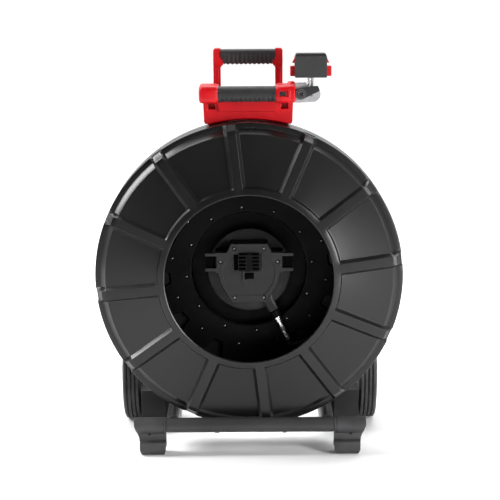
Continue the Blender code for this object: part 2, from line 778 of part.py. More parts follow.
def monitor_arm():
    """Knuckle, quick-release lever, post and the holder with its two latches."""
    tilt = axis_at("arm_tilt_axis", at(BOSS_X[1], *ARM_C))
    cx, cz = POST_X + 0.0026, PIVOT_Z
    low, high = KNUCKLE_Z
    end = arc(cx, cz, KNUCKLE_END_R, -70, 58, 12)
    outline = [(KNUCKLE_X[0], high), (KNUCKLE_X[0], low), *end]
    body = piece("arm_knuckle", prism(outline, RIM_Y + KNUCKLE_Y[0], RIM_Y + KNUCKLE_Y[1]), "cast_metal",
                 tilt)
    slot = block((POST_X - 0.0115, 0.140), (ARM_C[0] - POST_R - 0.0006, ARM_C[0] + POST_R + 0.0006),
                 (PIVOT_Z - 0.0105, 0.720))
    hole = rod(0.0036, at(CAM_X, 0.000, CAM_Z), at(CAM_X, 0.050, CAM_Z), 10)
    pin_hole = rod(0.0033, at(POST_X, 0.0, PIVOT_Z), at(POST_X, 0.06, PIVOT_Z), 10)
    combine(body, [slot, hole, pin_hole], "DIFFERENCE")
    piece("cam_bolt", rod(0.0033, at(CAM_X, 0.0040, CAM_Z), at(CAM_X, 0.0440, CAM_Z), 10), "steel", tilt)
    piece("post_pin", rod(0.0030, at(POST_X, 0.0165, PIVOT_Z), at(POST_X, 0.0435, PIVOT_Z), 10), "steel",
          tilt)

    cam = axis_at("cam_lever_axis", at(CAM_X, 0.010, CAM_Z))
    tip = arc(CAM_X + 0.0320, CAM_Z + 0.0078, 0.0032, -50, 60, 5)
    round_end = arc(CAM_X, CAM_Z, 0.0096, 75, 300, 16)
    lever = piece("cam_lever", prism([*tip, *round_end], RIM_Y + 0.0045, RIM_Y + 0.0150), "black_plastic",
                  cam)
    combine(lever, [rod(0.0036, at(CAM_X, 0.0, CAM_Z), at(CAM_X, 0.02, CAM_Z), 10)], "DIFFERENCE")

    swing = axis_at("post_axis", at(POST_X, ARM_C[0], PIVOT_Z))
    eye = rod(0.0098, at(POST_X, ARM_C[0] - POST_R, PIVOT_Z), at(POST_X, ARM_C[0] + POST_R, PIVOT_Z), 16,
              0.0033)
    post = piece("arm_post", eye, "steel", swing)
    stem = rod(POST_R, at(POST_X, ARM_C[0], PIVOT_Z + 0.0065), at(POST_X, ARM_C[0], 0.7300), 16)
    combine(post, [stem], "UNION")

    turn = axis_at("holder_axis", at(POST_X, ARM_C[0], HOLDER_Z[0]))
    holder = piece("monitor_holder", block(HOLDER_X, HOLDER_Y, HOLDER_Z), "black_plastic", turn)
    middle = sum(HOLDER_X) / 2
    half = (HOLDER_X[1] - HOLDER_X[0]) / 2
    latch_y = (0.0220, 0.0420)
    cuts = [rod(POST_R + GAP, at(POST_X, ARM_C[0], 0.70), at(POST_X, ARM_C[0], 0.7305), 16)]
    for side in (-1, 1):
        x = middle + side * half
        cuts.append(block((x + side * 0.01, x - side * 0.0095), (latch_y[0] - 0.0005, latch_y[1] + 0.0005),
                          (0.7085, 0.7460)))
    combine(holder, cuts, "DIFFERENCE")
    for side, name in ((-1, "left"), (1, "right")):
        x = middle + side * half
        slide = axis_at(f"latch_{name}_axis", at(x, ARM_C[0], 0.7275))
        deep = x - side * 0.0055
        outline = [
            (deep, 0.7090),
            (x + side * 0.0083, 0.7090),
            (x + side * 0.0083, 0.7275),
            (x - side * 0.0010, 0.7275),
            (x - side * 0.0010, 0.7335),
            (x + side * 0.0048, 0.7335),
            (x - side * 0.0010, 0.7455),
            (deep, 0.7455),
        ]
        piece(f"latch_{name}", prism(outline, RIM_Y + latch_y[0], RIM_Y + latch_y[1]), "red_plastic",
              slide)


frame_body()
hub_axle()
dock()
drum_body()
top_bracket()
sliding_handle()
monitor_arm()
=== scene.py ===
import math

import bmesh
import bpy
from mathutils import Matrix, Vector


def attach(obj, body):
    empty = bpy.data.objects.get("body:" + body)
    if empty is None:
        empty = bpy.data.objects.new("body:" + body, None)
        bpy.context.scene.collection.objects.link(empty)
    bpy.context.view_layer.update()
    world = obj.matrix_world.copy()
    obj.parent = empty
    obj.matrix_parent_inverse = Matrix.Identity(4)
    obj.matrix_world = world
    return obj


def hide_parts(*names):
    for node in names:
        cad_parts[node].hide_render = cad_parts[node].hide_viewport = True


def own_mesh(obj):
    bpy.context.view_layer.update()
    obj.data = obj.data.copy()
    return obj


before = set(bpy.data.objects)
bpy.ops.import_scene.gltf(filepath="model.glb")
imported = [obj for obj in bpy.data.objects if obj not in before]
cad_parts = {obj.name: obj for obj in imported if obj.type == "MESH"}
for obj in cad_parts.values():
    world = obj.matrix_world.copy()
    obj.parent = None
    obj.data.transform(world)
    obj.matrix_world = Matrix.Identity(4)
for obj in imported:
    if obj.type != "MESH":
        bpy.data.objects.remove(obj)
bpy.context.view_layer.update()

# The room. A pale seamless floor, a white surround that is darker behind the onlooker,
# one large soft light overhead and one each side. The eye is 2.9 m from the drum and a
# little above it.
AXLE_Z = 0.336
RIM_Y = -0.134
EYE_DISTANCE = 2.9
EYE_ELEVATION = math.radians(11.3)
LOOK_DOWN = math.radians(10.33)
EYE_X = 0.0019
EYE_LENS = 110.8
EYE_ROLL = math.radians(-0.34)


def link(obj):
    bpy.context.scene.collection.objects.link(obj)
    return obj


def add_camera():
    """The eye: a long lens that looks a little down at the drum."""
    data = bpy.data.cameras.new("eye")
    data.sensor_width = 36.0
    data.lens = EYE_LENS
    data.clip_start = 0.1
    data.clip_end = 300.0
    camera = link(bpy.data.objects.new("eye", data))
    camera.location = (
        EYE_X,
        RIM_Y - EYE_DISTANCE * math.cos(EYE_ELEVATION),
        AXLE_Z + EYE_DISTANCE * math.sin(EYE_ELEVATION),
    )
    tip = Matrix.Rotation(math.radians(90) - LOOK_DOWN, 3, "X")
    camera.rotation_euler = (tip @ Matrix.Rotation(EYE_ROLL, 3, "Z")).to_euler()
    bpy.context.scene.camera = camera


def add_softbox(name, place, aim, size, watts):
    """A soft rectangular lamp turned towards a point."""
    data = bpy.data.lights.new(name, "AREA")
    data.shape = "RECTANGLE"
    data.size, data.size_y = size
    data.energy = watts
    lamp = link(bpy.data.objects.new(name, data))
    lamp.location = place
    lamp.rotation_euler = (Vector(aim) - Vector(place)).to_track_quat("-Z", "Y").to_euler()


def plug(tree, node, sockets):
    """Gives a node's inputs their values, or links them where the value is another node's output."""
    for name, value in sockets.items():
        if isinstance(value, bpy.types.NodeSocket):
            tree.links.new(value, node.inputs[name])
        else:
            node.inputs[name].default_value = value


def add(tree, kind, sockets=None, **settings):
    """A new node with its settings and inputs. It gives back the node's outputs."""
    node = tree.nodes.new(kind)
    for name, value in settings.items():
        setattr(node, name, value)
    plug(tree, node, sockets or {})
    return node.outputs


def span(tree, value, start, end, low, high, **settings):
    """A value carried over from one range to another."""
    return add(tree, "ShaderNodeMapRange", {"Value": value, "From Min": start, "From Max": end,
                                            "To Min": low, "To Max": high}, **settings)[0]


def distance_back(tree, space):
    """How far back from the onlooker a point is, in the given coordinates."""
    where = add(tree, "ShaderNodeTexCoord")[space]
    return add(tree, "ShaderNodeSeparateXYZ", {0: where})["Y"]


def add_surround():
    """A white sky all round that fades to grey behind the onlooker."""
    world = bpy.data.worlds.new("studio")
    bpy.context.scene.world = world
    world.use_nodes = True
    tree = world.node_tree
    back = distance_back(tree, "Generated")
    fade = span(tree, back, -0.35, 0.55, 0.08, 1.0, interpolation_type="SMOOTHSTEP")
    plug(tree, tree.nodes["Background"], {"Color": (1.0, 1.0, 1.0, 1.0), "Strength": fade})


def add_floor():
    """A wide sheet of white paper that glows a little, the more so the farther back it is."""
    half = 80.0
    mesh = bpy.data.meshes.new("floor")
    mesh.from_pydata([(-half, -half, 0), (half, -half, 0), (half, half, 0), (-half, half, 0)], [],
                     [(0, 1, 2, 3)])
    white = bpy.data.materials.new("floor_paper")
    white.use_nodes = True
    tree = white.node_tree
    grain = add(tree, "ShaderNodeTexNoise", {"Scale": 60.0})["Fac"]
    bump = add(tree, "ShaderNodeBump", {"Distance": 0.0002, "Height": grain})["Normal"]
    glow = span(tree, distance_back(tree, "Object"), -0.6, 7.0, 0.0, 0.55)
    plug(tree, tree.nodes["Principled BSDF"],
         {"Base Color": (0.93, 0.93, 0.93, 1.0), "Roughness": 0.9, "Specular IOR Level": 0.1,
          "Normal": bump, "Emission Color": (1.0, 1.0, 1.0, 1.0), "Emission Strength": glow})
    mesh.materials.append(white)
    floor = link(bpy.data.objects.new("floor", mesh))


bpy.context.scene.view_settings.view_transform = "Standard"
add_camera()
add_surround()
add_floor()
add_softbox("overhead", (0.0, 2.0, 4.0), (0, 1.3, 0.0), (5.0, 3.0), 215)
add_softbox("right_strip", (2.3, -2.1, 0.95), (0, 0, 0.36), (0.8, 1.7), 105)
add_softbox("left_strip", (-2.3, 0.05, 2.0), (0, -0.1, 0.36), (0.7, 1.8), 88)


# Front crossbar and side rails. Round steel tube, saw-cut and sprayed satin black. The
# rails butt against the crossbar behind the feet, and run back under the wheels.
TUBE_R = 0.0140
BAR_Y = -0.0350
BAR_Z = 0.0560
BAR_HALF = 0.1588
RAIL_X = 0.1465
RAIL_END_Y = 0.2450
GAP = 0.0003


def at(x, y, z):
    """A point given across, back from the drum rim, and up from the floor."""
    return Vector((x, RIM_Y + y, z))


def finish(name, colour, rough, metal=0.0, mottle=0.12, patch=14.0, grain=700.0, depth=0.00004,
           spread=0.08, worn=None, wear=0.5, stretch=(1, 1, 1), turn=(0, 0, 0), coat=0.0, shine=0.28):
    """A surface with uneven colour and gloss, a fine grain and, where given, lighter worn edges."""
    made = bpy.data.materials.new(name)
    made.use_nodes = True
    made.diffuse_color = (*colour, 1.0)
    tree = made.node_tree
    where = add(tree, "ShaderNodeTexCoord")["Object"]
    lay = add(tree, "ShaderNodeMapping", {"Vector": where, "Scale": stretch, "Rotation": turn},
              vector_type="TEXTURE")[0]

    def noise(scale, detail, vector):
        return add(tree, "ShaderNodeTexNoise", {"Scale": scale, "Detail": detail, "Vector": vector})["Fac"]

    def blended(share, first, second):
        return add(tree, "ShaderNodeMix", {"Factor": share, 6: first, 7: second}, data_type="RGBA")[2]

    paint = blended(span(tree, noise(patch, 4.0, where), 0.3, 0.7, 0.0, 1.0),
                    (*[c * (1 - mottle) for c in colour], 1.0),
                    (*[min(c * (1 + mottle), 1.0) for c in colour], 1.0))
    if worn:
        soft = add(tree, "ShaderNodeBevel", {"Radius": 0.0012}, samples=4)["Normal"]
        flat = add(tree, "ShaderNodeNewGeometry")["Normal"]
        turned_by = add(tree, "ShaderNodeVectorMath", {0: soft, 1: flat}, operation="DOT_PRODUCT")["Value"]
        edge = span(tree, turned_by, 0.86, 0.995, wear, 0.0)
        patches = span(tree, noise(90.0, 5.0, where), 0.38, 0.6, 0.0, 1.0)
        rubbed = add(tree, "ShaderNodeMath", {0: edge, 1: patches}, operation="MULTIPLY")[0]
        paint = blended(rubbed, paint, (*worn, 1.0))
    gloss = span(tree, noise(patch * 3.1, 5.0, lay), 0.3, 0.7, max(rough - spread, 0.02),
                 min(rough + spread, 1.0))
    bump = add(tree, "ShaderNodeBump", {"Distance": depth, "Height": noise(grain, 3.0, lay)})["Normal"]
    plug(tree, tree.nodes["Principled BSDF"],
         {"Base Color": paint, "Roughness": gloss, "Normal": bump, "Metallic": metal, "Coat Weight": coat,
          "Coat Roughness": 0.12, "Specular IOR Level": shine})
    return made


def skin(rings, closed_ends=True):
    """A solid whose sides join rings of points that have the same number of points."""
    bm = bmesh.new()
    rows = [[bm.verts.new(p) for p in ring] for ring in rings]
    count = len(rows[0])
    for low, high in zip(rows, rows[1:]):
        for i in range(count):
            j = (i + 1) % count
            bm.faces.new((low[i], low[j], high[j], high[i]))
    if closed_ends:
        bm.faces.new(rows[0])
        bm.faces.new(rows[-1])
    bmesh.ops.recalc_face_normals(bm, faces=bm.faces)
    return bm


def turned(profile, axis, centre, steps=64):
    """A turned piece. profile holds (radius, along) points in a loop."""
    along = Vector(axis)
    side = Vector((0, 0, 1)) if abs(along.z) < 0.5 else Vector((1, 0, 0))
    other = along.cross(side).normalized()
    side = other.cross(along)
    bm = bmesh.new()
    columns = []
    on_axis = {}
    for k in range(steps):
        turn = 2 * math.pi * k / steps
        out = side * math.cos(turn) + other * math.sin(turn)
        column = []
        for i, (r, a) in enumerate(profile):
            if r > 0:
                column.append(bm.verts.new(Vector(centre) + out * r + along * a))
                continue
            if i not in on_axis:
                on_axis[i] = bm.verts.new(Vector(centre) + along * a)
            column.append(on_axis[i])
        columns.append(column)
    count = len(profile)
    for k in range(steps):
        here, following = columns[k], columns[(k + 1) % steps]
        for i in range(count):
            j = (i + 1) % count
            corners = []
            for v in (here[i], here[j], following[j], following[i]):
                if v not in corners:
                    corners.append(v)
            if len(corners) > 2:
                bm.faces.new(corners)
    bmesh.ops.recalc_face_normals(bm, faces=bm.faces)
    return bm


def rod(radius, start, end, steps=48, chamfer=0.0006):
    """A straight rod with softened ends."""
    start, end = Vector(start), Vector(end)
    length = (end - start).length
    profile = [(0, 0), (radius - chamfer, 0), (radius, chamfer), (radius, length - chamfer),
               (radius - chamfer, length), (0, length)]
    return turned(profile, (end - start) / length, start, steps)


def swept(path, radius, sides=32):
    """A round bar along a path of points."""
    points = [Vector(p) for p in path]
    rings = []
    up = Vector((0.0, 1.0, 0.0))
    for i, p in enumerate(points):
        ahead = (points[min(i + 1, len(points) - 1)] - points[max(i - 1, 0)]).normalized()
        if abs(ahead.dot(up)) > 0.9:
            up = Vector((1.0, 0.0, 0.0))
        across = ahead.cross(up).normalized()
        up = across.cross(ahead).normalized()
        rings.append([p + (across * math.cos(2 * math.pi * k / sides)
                           + up * math.sin(2 * math.pi * k / sides)) * radius for k in range(sides)])
    return skin(rings)


def merged(*shapes):
    """Several shapes as one."""
    whole = bmesh.new()
    for shape in shapes:
        mesh = bpy.data.meshes.new("part_of_piece")
        shape.to_mesh(mesh)
        shape.free()
        whole.from_mesh(mesh)
        bpy.data.meshes.remove(mesh)
    return whole


def soften(obj, width, segments, corner="MITER_ARC"):
    """Rounds off an object's sharp edges."""
    edge = obj.modifiers.new("edges", "BEVEL")
    edge.width, edge.segments = width, segments
    edge.limit_method = "ANGLE"
    edge.angle_limit = math.radians(38)
    edge.miter_outer = corner
    edge.harden_normals = True


def piece(name, bm, look, sharp=32.0, bevel=0.0, segments=2):
    """An object from a shape, smooth but for its sharp edges, which bevel rounds off."""
    mesh = bpy.data.meshes.new(name)
    bm.to_mesh(mesh)
    bm.free()
    mesh.materials.append(look)
    mesh.shade_smooth()
    mesh.set_sharp_from_angle(angle=math.radians(sharp))
    obj = link(bpy.data.objects.new(name, mesh))
    if bevel:
        soften(obj, bevel, segments)
    return obj


def fit(obj, body, slot, *nodes):
    """The piece moves with that body and stands for those nodes. slot is not used."""
    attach(obj, body)
    if nodes:
        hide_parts(*nodes)
    return obj


BLACK_PAINT = finish("black_paint", (0.040, 0.039, 0.040), 0.36, mottle=0.2, patch=9.0, grain=420.0,
                     depth=0.00006, worn=(0.16, 0.16, 0.165), wear=0.55)

bar = rod(TUBE_R, at(-BAR_HALF, BAR_Y, BAR_Z), at(BAR_HALF, BAR_Y, BAR_Z), 64, 0.0010)
tab_z = BAR_Z - 0.0112
tabs = [rod(0.0046, at(x - 0.004, BAR_Y, tab_z), at(x + 0.004, BAR_Y, tab_z), 16) for x in (-0.0625, 0.0655)]
bar = merged(bar, *tabs)
fit(piece("front_crossbar_tube", bar, BLACK_PAINT), "frame", "black_paint", "front_crossbar")
for side, name in ((-1, "left"), (1, "right")):
    start = BAR_Y + TUBE_R + GAP
    wall = 0.0018
    x = side * RAIL_X
    length = RAIL_END_Y - start
    open_end = [(TUBE_R - 0.0008, 0), (TUBE_R, 0.0008), (TUBE_R, length - 0.0004),
                (TUBE_R - 0.0004, length), (TUBE_R - wall, length), (TUBE_R - wall, length - 0.05),
                (0, length - 0.05), (0, 0)]
    rail = turned(open_end, (0, 1, 0), at(x, start, BAR_Z), 64)
    fit(piece(f"side_rail_{name}_tube", rail, BLACK_PAINT), "frame", "black_paint", f"side_rail_{name}")

# Uprights and the axle plate. The two rear tubes bend in over the wheels and guide the
# sliding handle's legs in their open tops. The plate is laser-cut steel, bolted across
# them at the axle.
UPRIGHT_Y = 0.1200
UPRIGHT_X = 0.0592
UPRIGHT_R = 0.0135
BORE_R = 0.0105
UPRIGHT_TOP_Z = 0.5990


def upright_route(side):
    """Middle line of one upright, from the side rail up to the top bracket."""
    points = [(RAIL_X, z) for z in (BAR_Z + TUBE_R + GAP, 0.12, 0.17)]
    low, high = 0.215, 0.455
    steps = 24
    for k in range(steps + 1):
        t = k / steps
        ease = t * t * (3 - 2 * t)
        points.append((RAIL_X + (UPRIGHT_X - RAIL_X) * ease, low + (high - low) * t))
    points += [(UPRIGHT_X, 0.50), (UPRIGHT_X, UPRIGHT_TOP_Z)]
    return [at(side * x, UPRIGHT_Y, z) for x, z in points]


def weld(place, axis, radius, steps=48):
    """A bead of weld round a tube's end, uneven as a hand-laid one is."""
    along = Vector(axis)
    side = Vector((0, 1, 0)) if abs(along.y) < 0.5 else Vector((1, 0, 0))
    other = along.cross(side).normalized()
    path = []
    for k in range(steps + 1):
        turn = 2 * math.pi * k / steps
        out = side * math.cos(turn) + other * math.sin(turn)
        path.append(Vector(place) + out * (radius + 0.0004 * math.sin(turn * 17)))
    return swept(path, 0.0022, 8)


for side, name in ((-1, "left"), (1, "right")):
    route = upright_route(side)
    tube = swept(route, UPRIGHT_R, 40)
    foot_bead = weld(route[0] + Vector((0, 0, 0.001)), (0, 0, 1), UPRIGHT_R)
    mouth_x = side * UPRIGHT_X
    lip = turned([(BORE_R, 0), (UPRIGHT_R, 0), (UPRIGHT_R, 0.0004), (BORE_R, 0.0004)], (0, 0, 1),
                 at(mouth_x, UPRIGHT_Y, UPRIGHT_TOP_Z - 0.0004), 40)
    fit(piece(f"upright_{name}_tube", merged(tube, foot_bead, lip), BLACK_PAINT), "frame",
        "black_paint", f"upright_{name}")
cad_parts["axle_plate"].data.materials[0] = BLACK_PAINT

# Feet. Solid rubber blocks moulded over the crossbar's ends, flared outwards at the top,
# with a rolled upper edge, a slim web at the neck and a drain hole in the face.
FOOT_X = (0.1591, 0.2085, 0.2190)
FOOT_FRONT_Y = -0.0520
FOOT_RUBBER = finish("foot_rubber", (0.050, 0.050, 0.052), 0.46, mottle=0.22, patch=30.0, grain=1500.0,
                     depth=0.00010, spread=0.10, worn=(0.13, 0.13, 0.13), wear=0.5)


def arc(cx, cz, radius, start, end, steps):
    """Points round an arc, with the angles in degrees."""
    turns = [math.radians(start + (end - start) * k / steps) for k in range(steps + 1)]
    return [(cx + radius * math.cos(t), cz + radius * math.sin(t)) for t in turns]


def carve(obj, shapes):
    """Cuts shapes out of an object's mesh for good."""
    helpers = []
    for shape in shapes:
        helper = piece("carving_tool", shape, obj.data.materials[0])
        step = obj.modifiers.new("carve", "BOOLEAN")
        step.object = helper
        step.solver = "EXACT"
        helpers.append(helper)
    bevels = [m for m in obj.modifiers if m.type == "BEVEL"]
    kept = [(m.width, m.segments) for m in bevels]
    for m in bevels:
        obj.modifiers.remove(m)
    graph = bpy.context.evaluated_depsgraph_get()
    mesh = bpy.data.meshes.new_from_object(obj.evaluated_get(graph), depsgraph=graph)
    obj.modifiers.clear()
    for helper in helpers:
        bpy.data.objects.remove(helper)
    obj.data = mesh
    mesh.shade_smooth()
    mesh.set_sharp_from_angle(angle=math.radians(32))
    for width, segments in kept:
        soften(obj, width, segments, "MITER_SHARP")
    return obj


def foot_section():
    """Side view of a foot: depth back from the drum rim, and height."""
    roll = arc(BAR_Y, BAR_Z, TUBE_R + 0.0010, 222, 0, 24)
    front = FOOT_FRONT_Y
    return [(front + 0.0095, 0.0), (front + 0.0035, 0.0042), (front, 0.0112), (front, 0.0245),
            (front + 0.0012, 0.0262), (front + 0.0105, 0.0285), (front + 0.0125, 0.0330),
            (front + 0.0115, 0.0405), *roll, (BAR_Y + 0.0135, 0.0300), (BAR_Y + 0.0190, 0.0120),
            (BAR_Y + 0.0190, 0.0)]


for side, name in ((-1, "left"), (1, "right")):
    inner, low_outer, high_outer = FOOT_X
    rings = []
    for share in (0.0, 0.02, 0.98, 1.0):
        ring = []
        for y, z in foot_section():
            widen = min(max((z - 0.028) / 0.030, 0.0), 1.0)
            pinch = 0.35 * max(0.0105 - z, 0.0)
            outer = low_outer + (high_outer - low_outer) * widen - pinch
            ring.append(at(side * (inner + pinch + (outer - inner - pinch) * share), y, z))
        rings.append(ring)
    foot = piece(f"foot_{name}_block", skin(rings), FOOT_RUBBER, bevel=0.0011, segments=3)
    hole_x, hole_z = side * 0.1905, 0.0395
    hole = rod(0.0021, at(hole_x, FOOT_FRONT_Y - 0.02, hole_z), at(hole_x, BAR_Y, hole_z), 20)
    groove = turned([(TUBE_R - 0.0008, -0.0006), (TUBE_R + 0.002, -0.0006), (TUBE_R + 0.002, 0.0006),
                     (TUBE_R - 0.0008, 0.0006)], (1, 0, 0), at(side * 0.1640, BAR_Y, BAR_Z), 40)
    fit(carve(foot, [hole, groove]), "frame", "black_plastic", f"foot_{name}")

# Wheel carriers and the axle. Moulded nylon boxes with a sunk field in their outer side
# and a web to the rail; a plain steel axle runs right through both and the wheels.
BRACKET_X = (0.1670, 0.2145)
WHEEL_Y = 0.2200
WHEEL_R = 0.1000
WHEEL_X = (0.2185, 0.2545)
WHEEL_AXLE_R = 0.0080
BLACK_MOULDING = finish("black_moulding", (0.014, 0.014, 0.015), 0.46, mottle=0.16, patch=22.0,
                        grain=1300.0, depth=0.00007, worn=(0.10, 0.10, 0.10), wear=0.45)
STEEL = finish("ground_steel", (0.62, 0.62, 0.63), 0.28, metal=1.0, mottle=0.08, patch=30.0,
               grain=900.0, depth=0.00001, spread=0.05, stretch=(1, 20, 1))


def prism(outline, low, high, along="Y"):
    """An outline pushed along an axis. It lists the other two coordinates; y is back from the rim."""
    place = {
        "X": lambda a, b, c: at(c, a, b),
        "Y": lambda a, b, c: at(a, c, b),
        "Z": lambda a, b, c: at(a, b, c),
    }[along]
    return skin([[place(a, b, c) for a, b in outline] for c in (low, high)])


def block(x, y, z):
    """A box from its three ranges, with y measured back from the drum rim."""
    corners = [(min(x), min(z)), (max(x), min(z)), (max(x), max(z)), (min(x), max(z))]
    return prism(corners, min(y), max(y))


outline = [(0.1000, 0.0180), (0.1000, 0.0860), (0.1850, 0.0860), (0.2000, 0.1180), (0.2400, 0.1180),
           (0.2600, 0.0860), (0.2600, 0.0180)]
for side, name in ((-1, "left"), (1, "right")):
    inner, face = (side * x for x in BRACKET_X)
    carrier = piece(f"wheel_bracket_{name}_box", prism(outline, *sorted((inner, face)), "X"), BLACK_MOULDING,
                    bevel=0.0014, segments=3)
    field = block((face - 0.0012, face + 0.0012), (0.1070, 0.1780), (0.0250, 0.0790))
    pocket = block((inner + side * 0.008, face - side * 0.008), (0.1080, 0.1770), (0.0848, 0.0880))
    bore = rod(WHEEL_AXLE_R + GAP, at(side * 0.15, WHEEL_Y, WHEEL_R), at(side * 0.23, WHEEL_Y, WHEEL_R), 40)
    fit(carve(carrier, [field, pocket, bore]), "frame", "black_plastic", f"wheel_bracket_{name}")
    web = block((side * 0.1608, inner + side * 0.0020), (0.1060, 0.1850), (0.0200, 0.0840))
    fit(piece(f"wheel_bracket_{name}_web", web, BLACK_MOULDING, bevel=0.0008), "frame", "black_plastic")
reach = WHEEL_X[1] + 0.0005
axle = rod(WHEEL_AXLE_R, at(-reach, WHEEL_Y, WHEEL_R), at(reach, WHEEL_Y, WHEEL_R), 48, 0.0010)
fit(piece("wheel_axle_bar", axle, STEEL), "frame", "steel", "wheel_axle")

# Wheels. A glass-filled nylon centre with a rim of spokes, a solid ribbed rubber tyre
# stretched over it, and a pressed cap that holds each wheel on the axle.
TYRE_RUBBER = finish("tyre_rubber", (0.045, 0.045, 0.046), 0.66, mottle=0.3, patch=26.0, grain=1100.0,
                     depth=0.00016, spread=0.12, worn=(0.11, 0.108, 0.105), wear=0.7)
SPOKES = 6


def new_tree(name, inputs):
    """A tree that takes a shape, these inputs and a material, and what it is given."""
    tree = bpy.data.node_groups.new(name, "GeometryNodeTree")
    for label, kind in {"Geometry": "Geometry", **inputs, "Material": "Material"}.items():
        tree.interface.new_socket(name=label, in_out="INPUT", socket_type=f"NodeSocket{kind}")
    tree.interface.new_socket(name="Geometry", in_out="OUTPUT", socket_type="NodeSocketGeometry")
    return tree, add(tree, "NodeGroupInput")


def end_tree(tree, shape, given):
    """Gives the tree's shape its material and hands it out."""
    coated = add(tree, "GeometryNodeSetMaterial", {"Geometry": shape, "Material": given["Material"]})[0]
    add(tree, "NodeGroupOutput", {0: coated})
    return tree


def repeat_tree():
    """Copies of a shape, each turned about an axis and shifted by its number, then placed."""
    tree, given = new_tree("turned_and_shifted_copies", {
        "Count": "Int", "First Turn": "Float", "Turn": "Float", "Axis": "Vector", "Shift": "Vector",
        "Centre": "Vector", "Weld": "Float"})
    number = add(tree, "GeometryNodeInputIndex")[0]
    turns = add(tree, "ShaderNodeMath", {0: number, 1: given["Turn"]}, operation="MULTIPLY")[0]
    angle = add(tree, "ShaderNodeMath", {0: turns, 1: given["First Turn"]}, operation="ADD")[0]
    moved = add(tree, "ShaderNodeVectorMath", {0: given["Shift"], "Scale": number}, operation="SCALE")[0]
    spots = add(tree, "GeometryNodePoints", {"Count": given["Count"], "Position": moved})[0]
    spin = add(tree, "FunctionNodeAxisAngleToRotation", {"Axis": given["Axis"], "Angle": angle})[0]
    shape = add(tree, "GeometryNodeInstanceOnPoints",
                {"Points": spots, "Instance": given["Geometry"], "Rotation": spin})[0]
    shape = add(tree, "GeometryNodeTransform", {"Geometry": shape, "Translation": given["Centre"]})[0]
    shape = add(tree, "GeometryNodeRealizeInstances", {0: shape})[0]
    shape = add(tree, "GeometryNodeMergeByDistance", {"Geometry": shape, "Distance": given["Weld"]})[0]
    return end_tree(tree, shape, given)


REPEAT = repeat_tree()
SEAM = 0.00002


def run_tree(name, bm, tree, look, **given):
    """The mesh that a tree makes from a shape, as a bmesh. Names in given are its inputs."""
    source = piece(name + "_one", bm, look)
    step = source.modifiers.new("tree", "NODES")
    step.node_group = tree
    keys = {s.name: s.identifier for s in tree.interface.items_tree if s.in_out == "INPUT"}
    for label, value in {**given, "Material": look}.items():
        step[keys[label.replace("_", " ")]] = value
    graph = bpy.context.evaluated_depsgraph_get()
    mesh = bpy.data.meshes.new_from_object(source.evaluated_get(graph), depsgraph=graph)
    bpy.data.objects.remove(source)
    made = bmesh.new()
    made.from_mesh(mesh)
    bpy.data.meshes.remove(mesh)
    return made


def copies(name, bm, look, count, centre, turn=0.0, first=0.0, axis=(0, 1, 0), shift=(0, 0, 0),
           weld=0.0):
    """Several of one shape, round an axis or in a row. weld joins points that are that near."""
    return run_tree(name, bm, REPEAT, look, Count=count, First_Turn=first, Turn=turn, Axis=axis,
                    Shift=tuple(shift), Centre=tuple(centre), Weld=weld)


def mirrored(half, width):
    """A profile from its first half, with the same radii again on the other side."""
    return [*half, *[(r, width - a) for r, a in reversed(half)]]


def tyre_rows(width, ribs=4):
    """Tread from edge to edge: rounded ribs with grooves between them."""
    seat = 0.0740
    pitch = (width - 0.004) / ribs
    rows = []
    for k in range(ribs):
        low = 0.002 + k * pitch
        for share, drop in ((0.14, 0.0022), (0.19, 0.0007), (0.27, 0.0001), (0.5, 0.0), (0.73, 0.0001),
                            (0.81, 0.0007), (0.86, 0.0022)):
            rows.append((WHEEL_R - drop, low + pitch * share))
        if k < ribs - 1:
            rows += [(WHEEL_R - 0.0038, low + pitch * share) for share in (0.93, 1.07)]
    wall = mirrored([(seat + GAP, 0.002), (seat + 0.004, 0.0008), (WHEEL_R - 0.016, 0.0),
                     (WHEEL_R - 0.0100, 0.0002), (WHEEL_R - 0.0050, 0.0013)], width)
    return [*wall[:5], *rows, *wall[5:]]


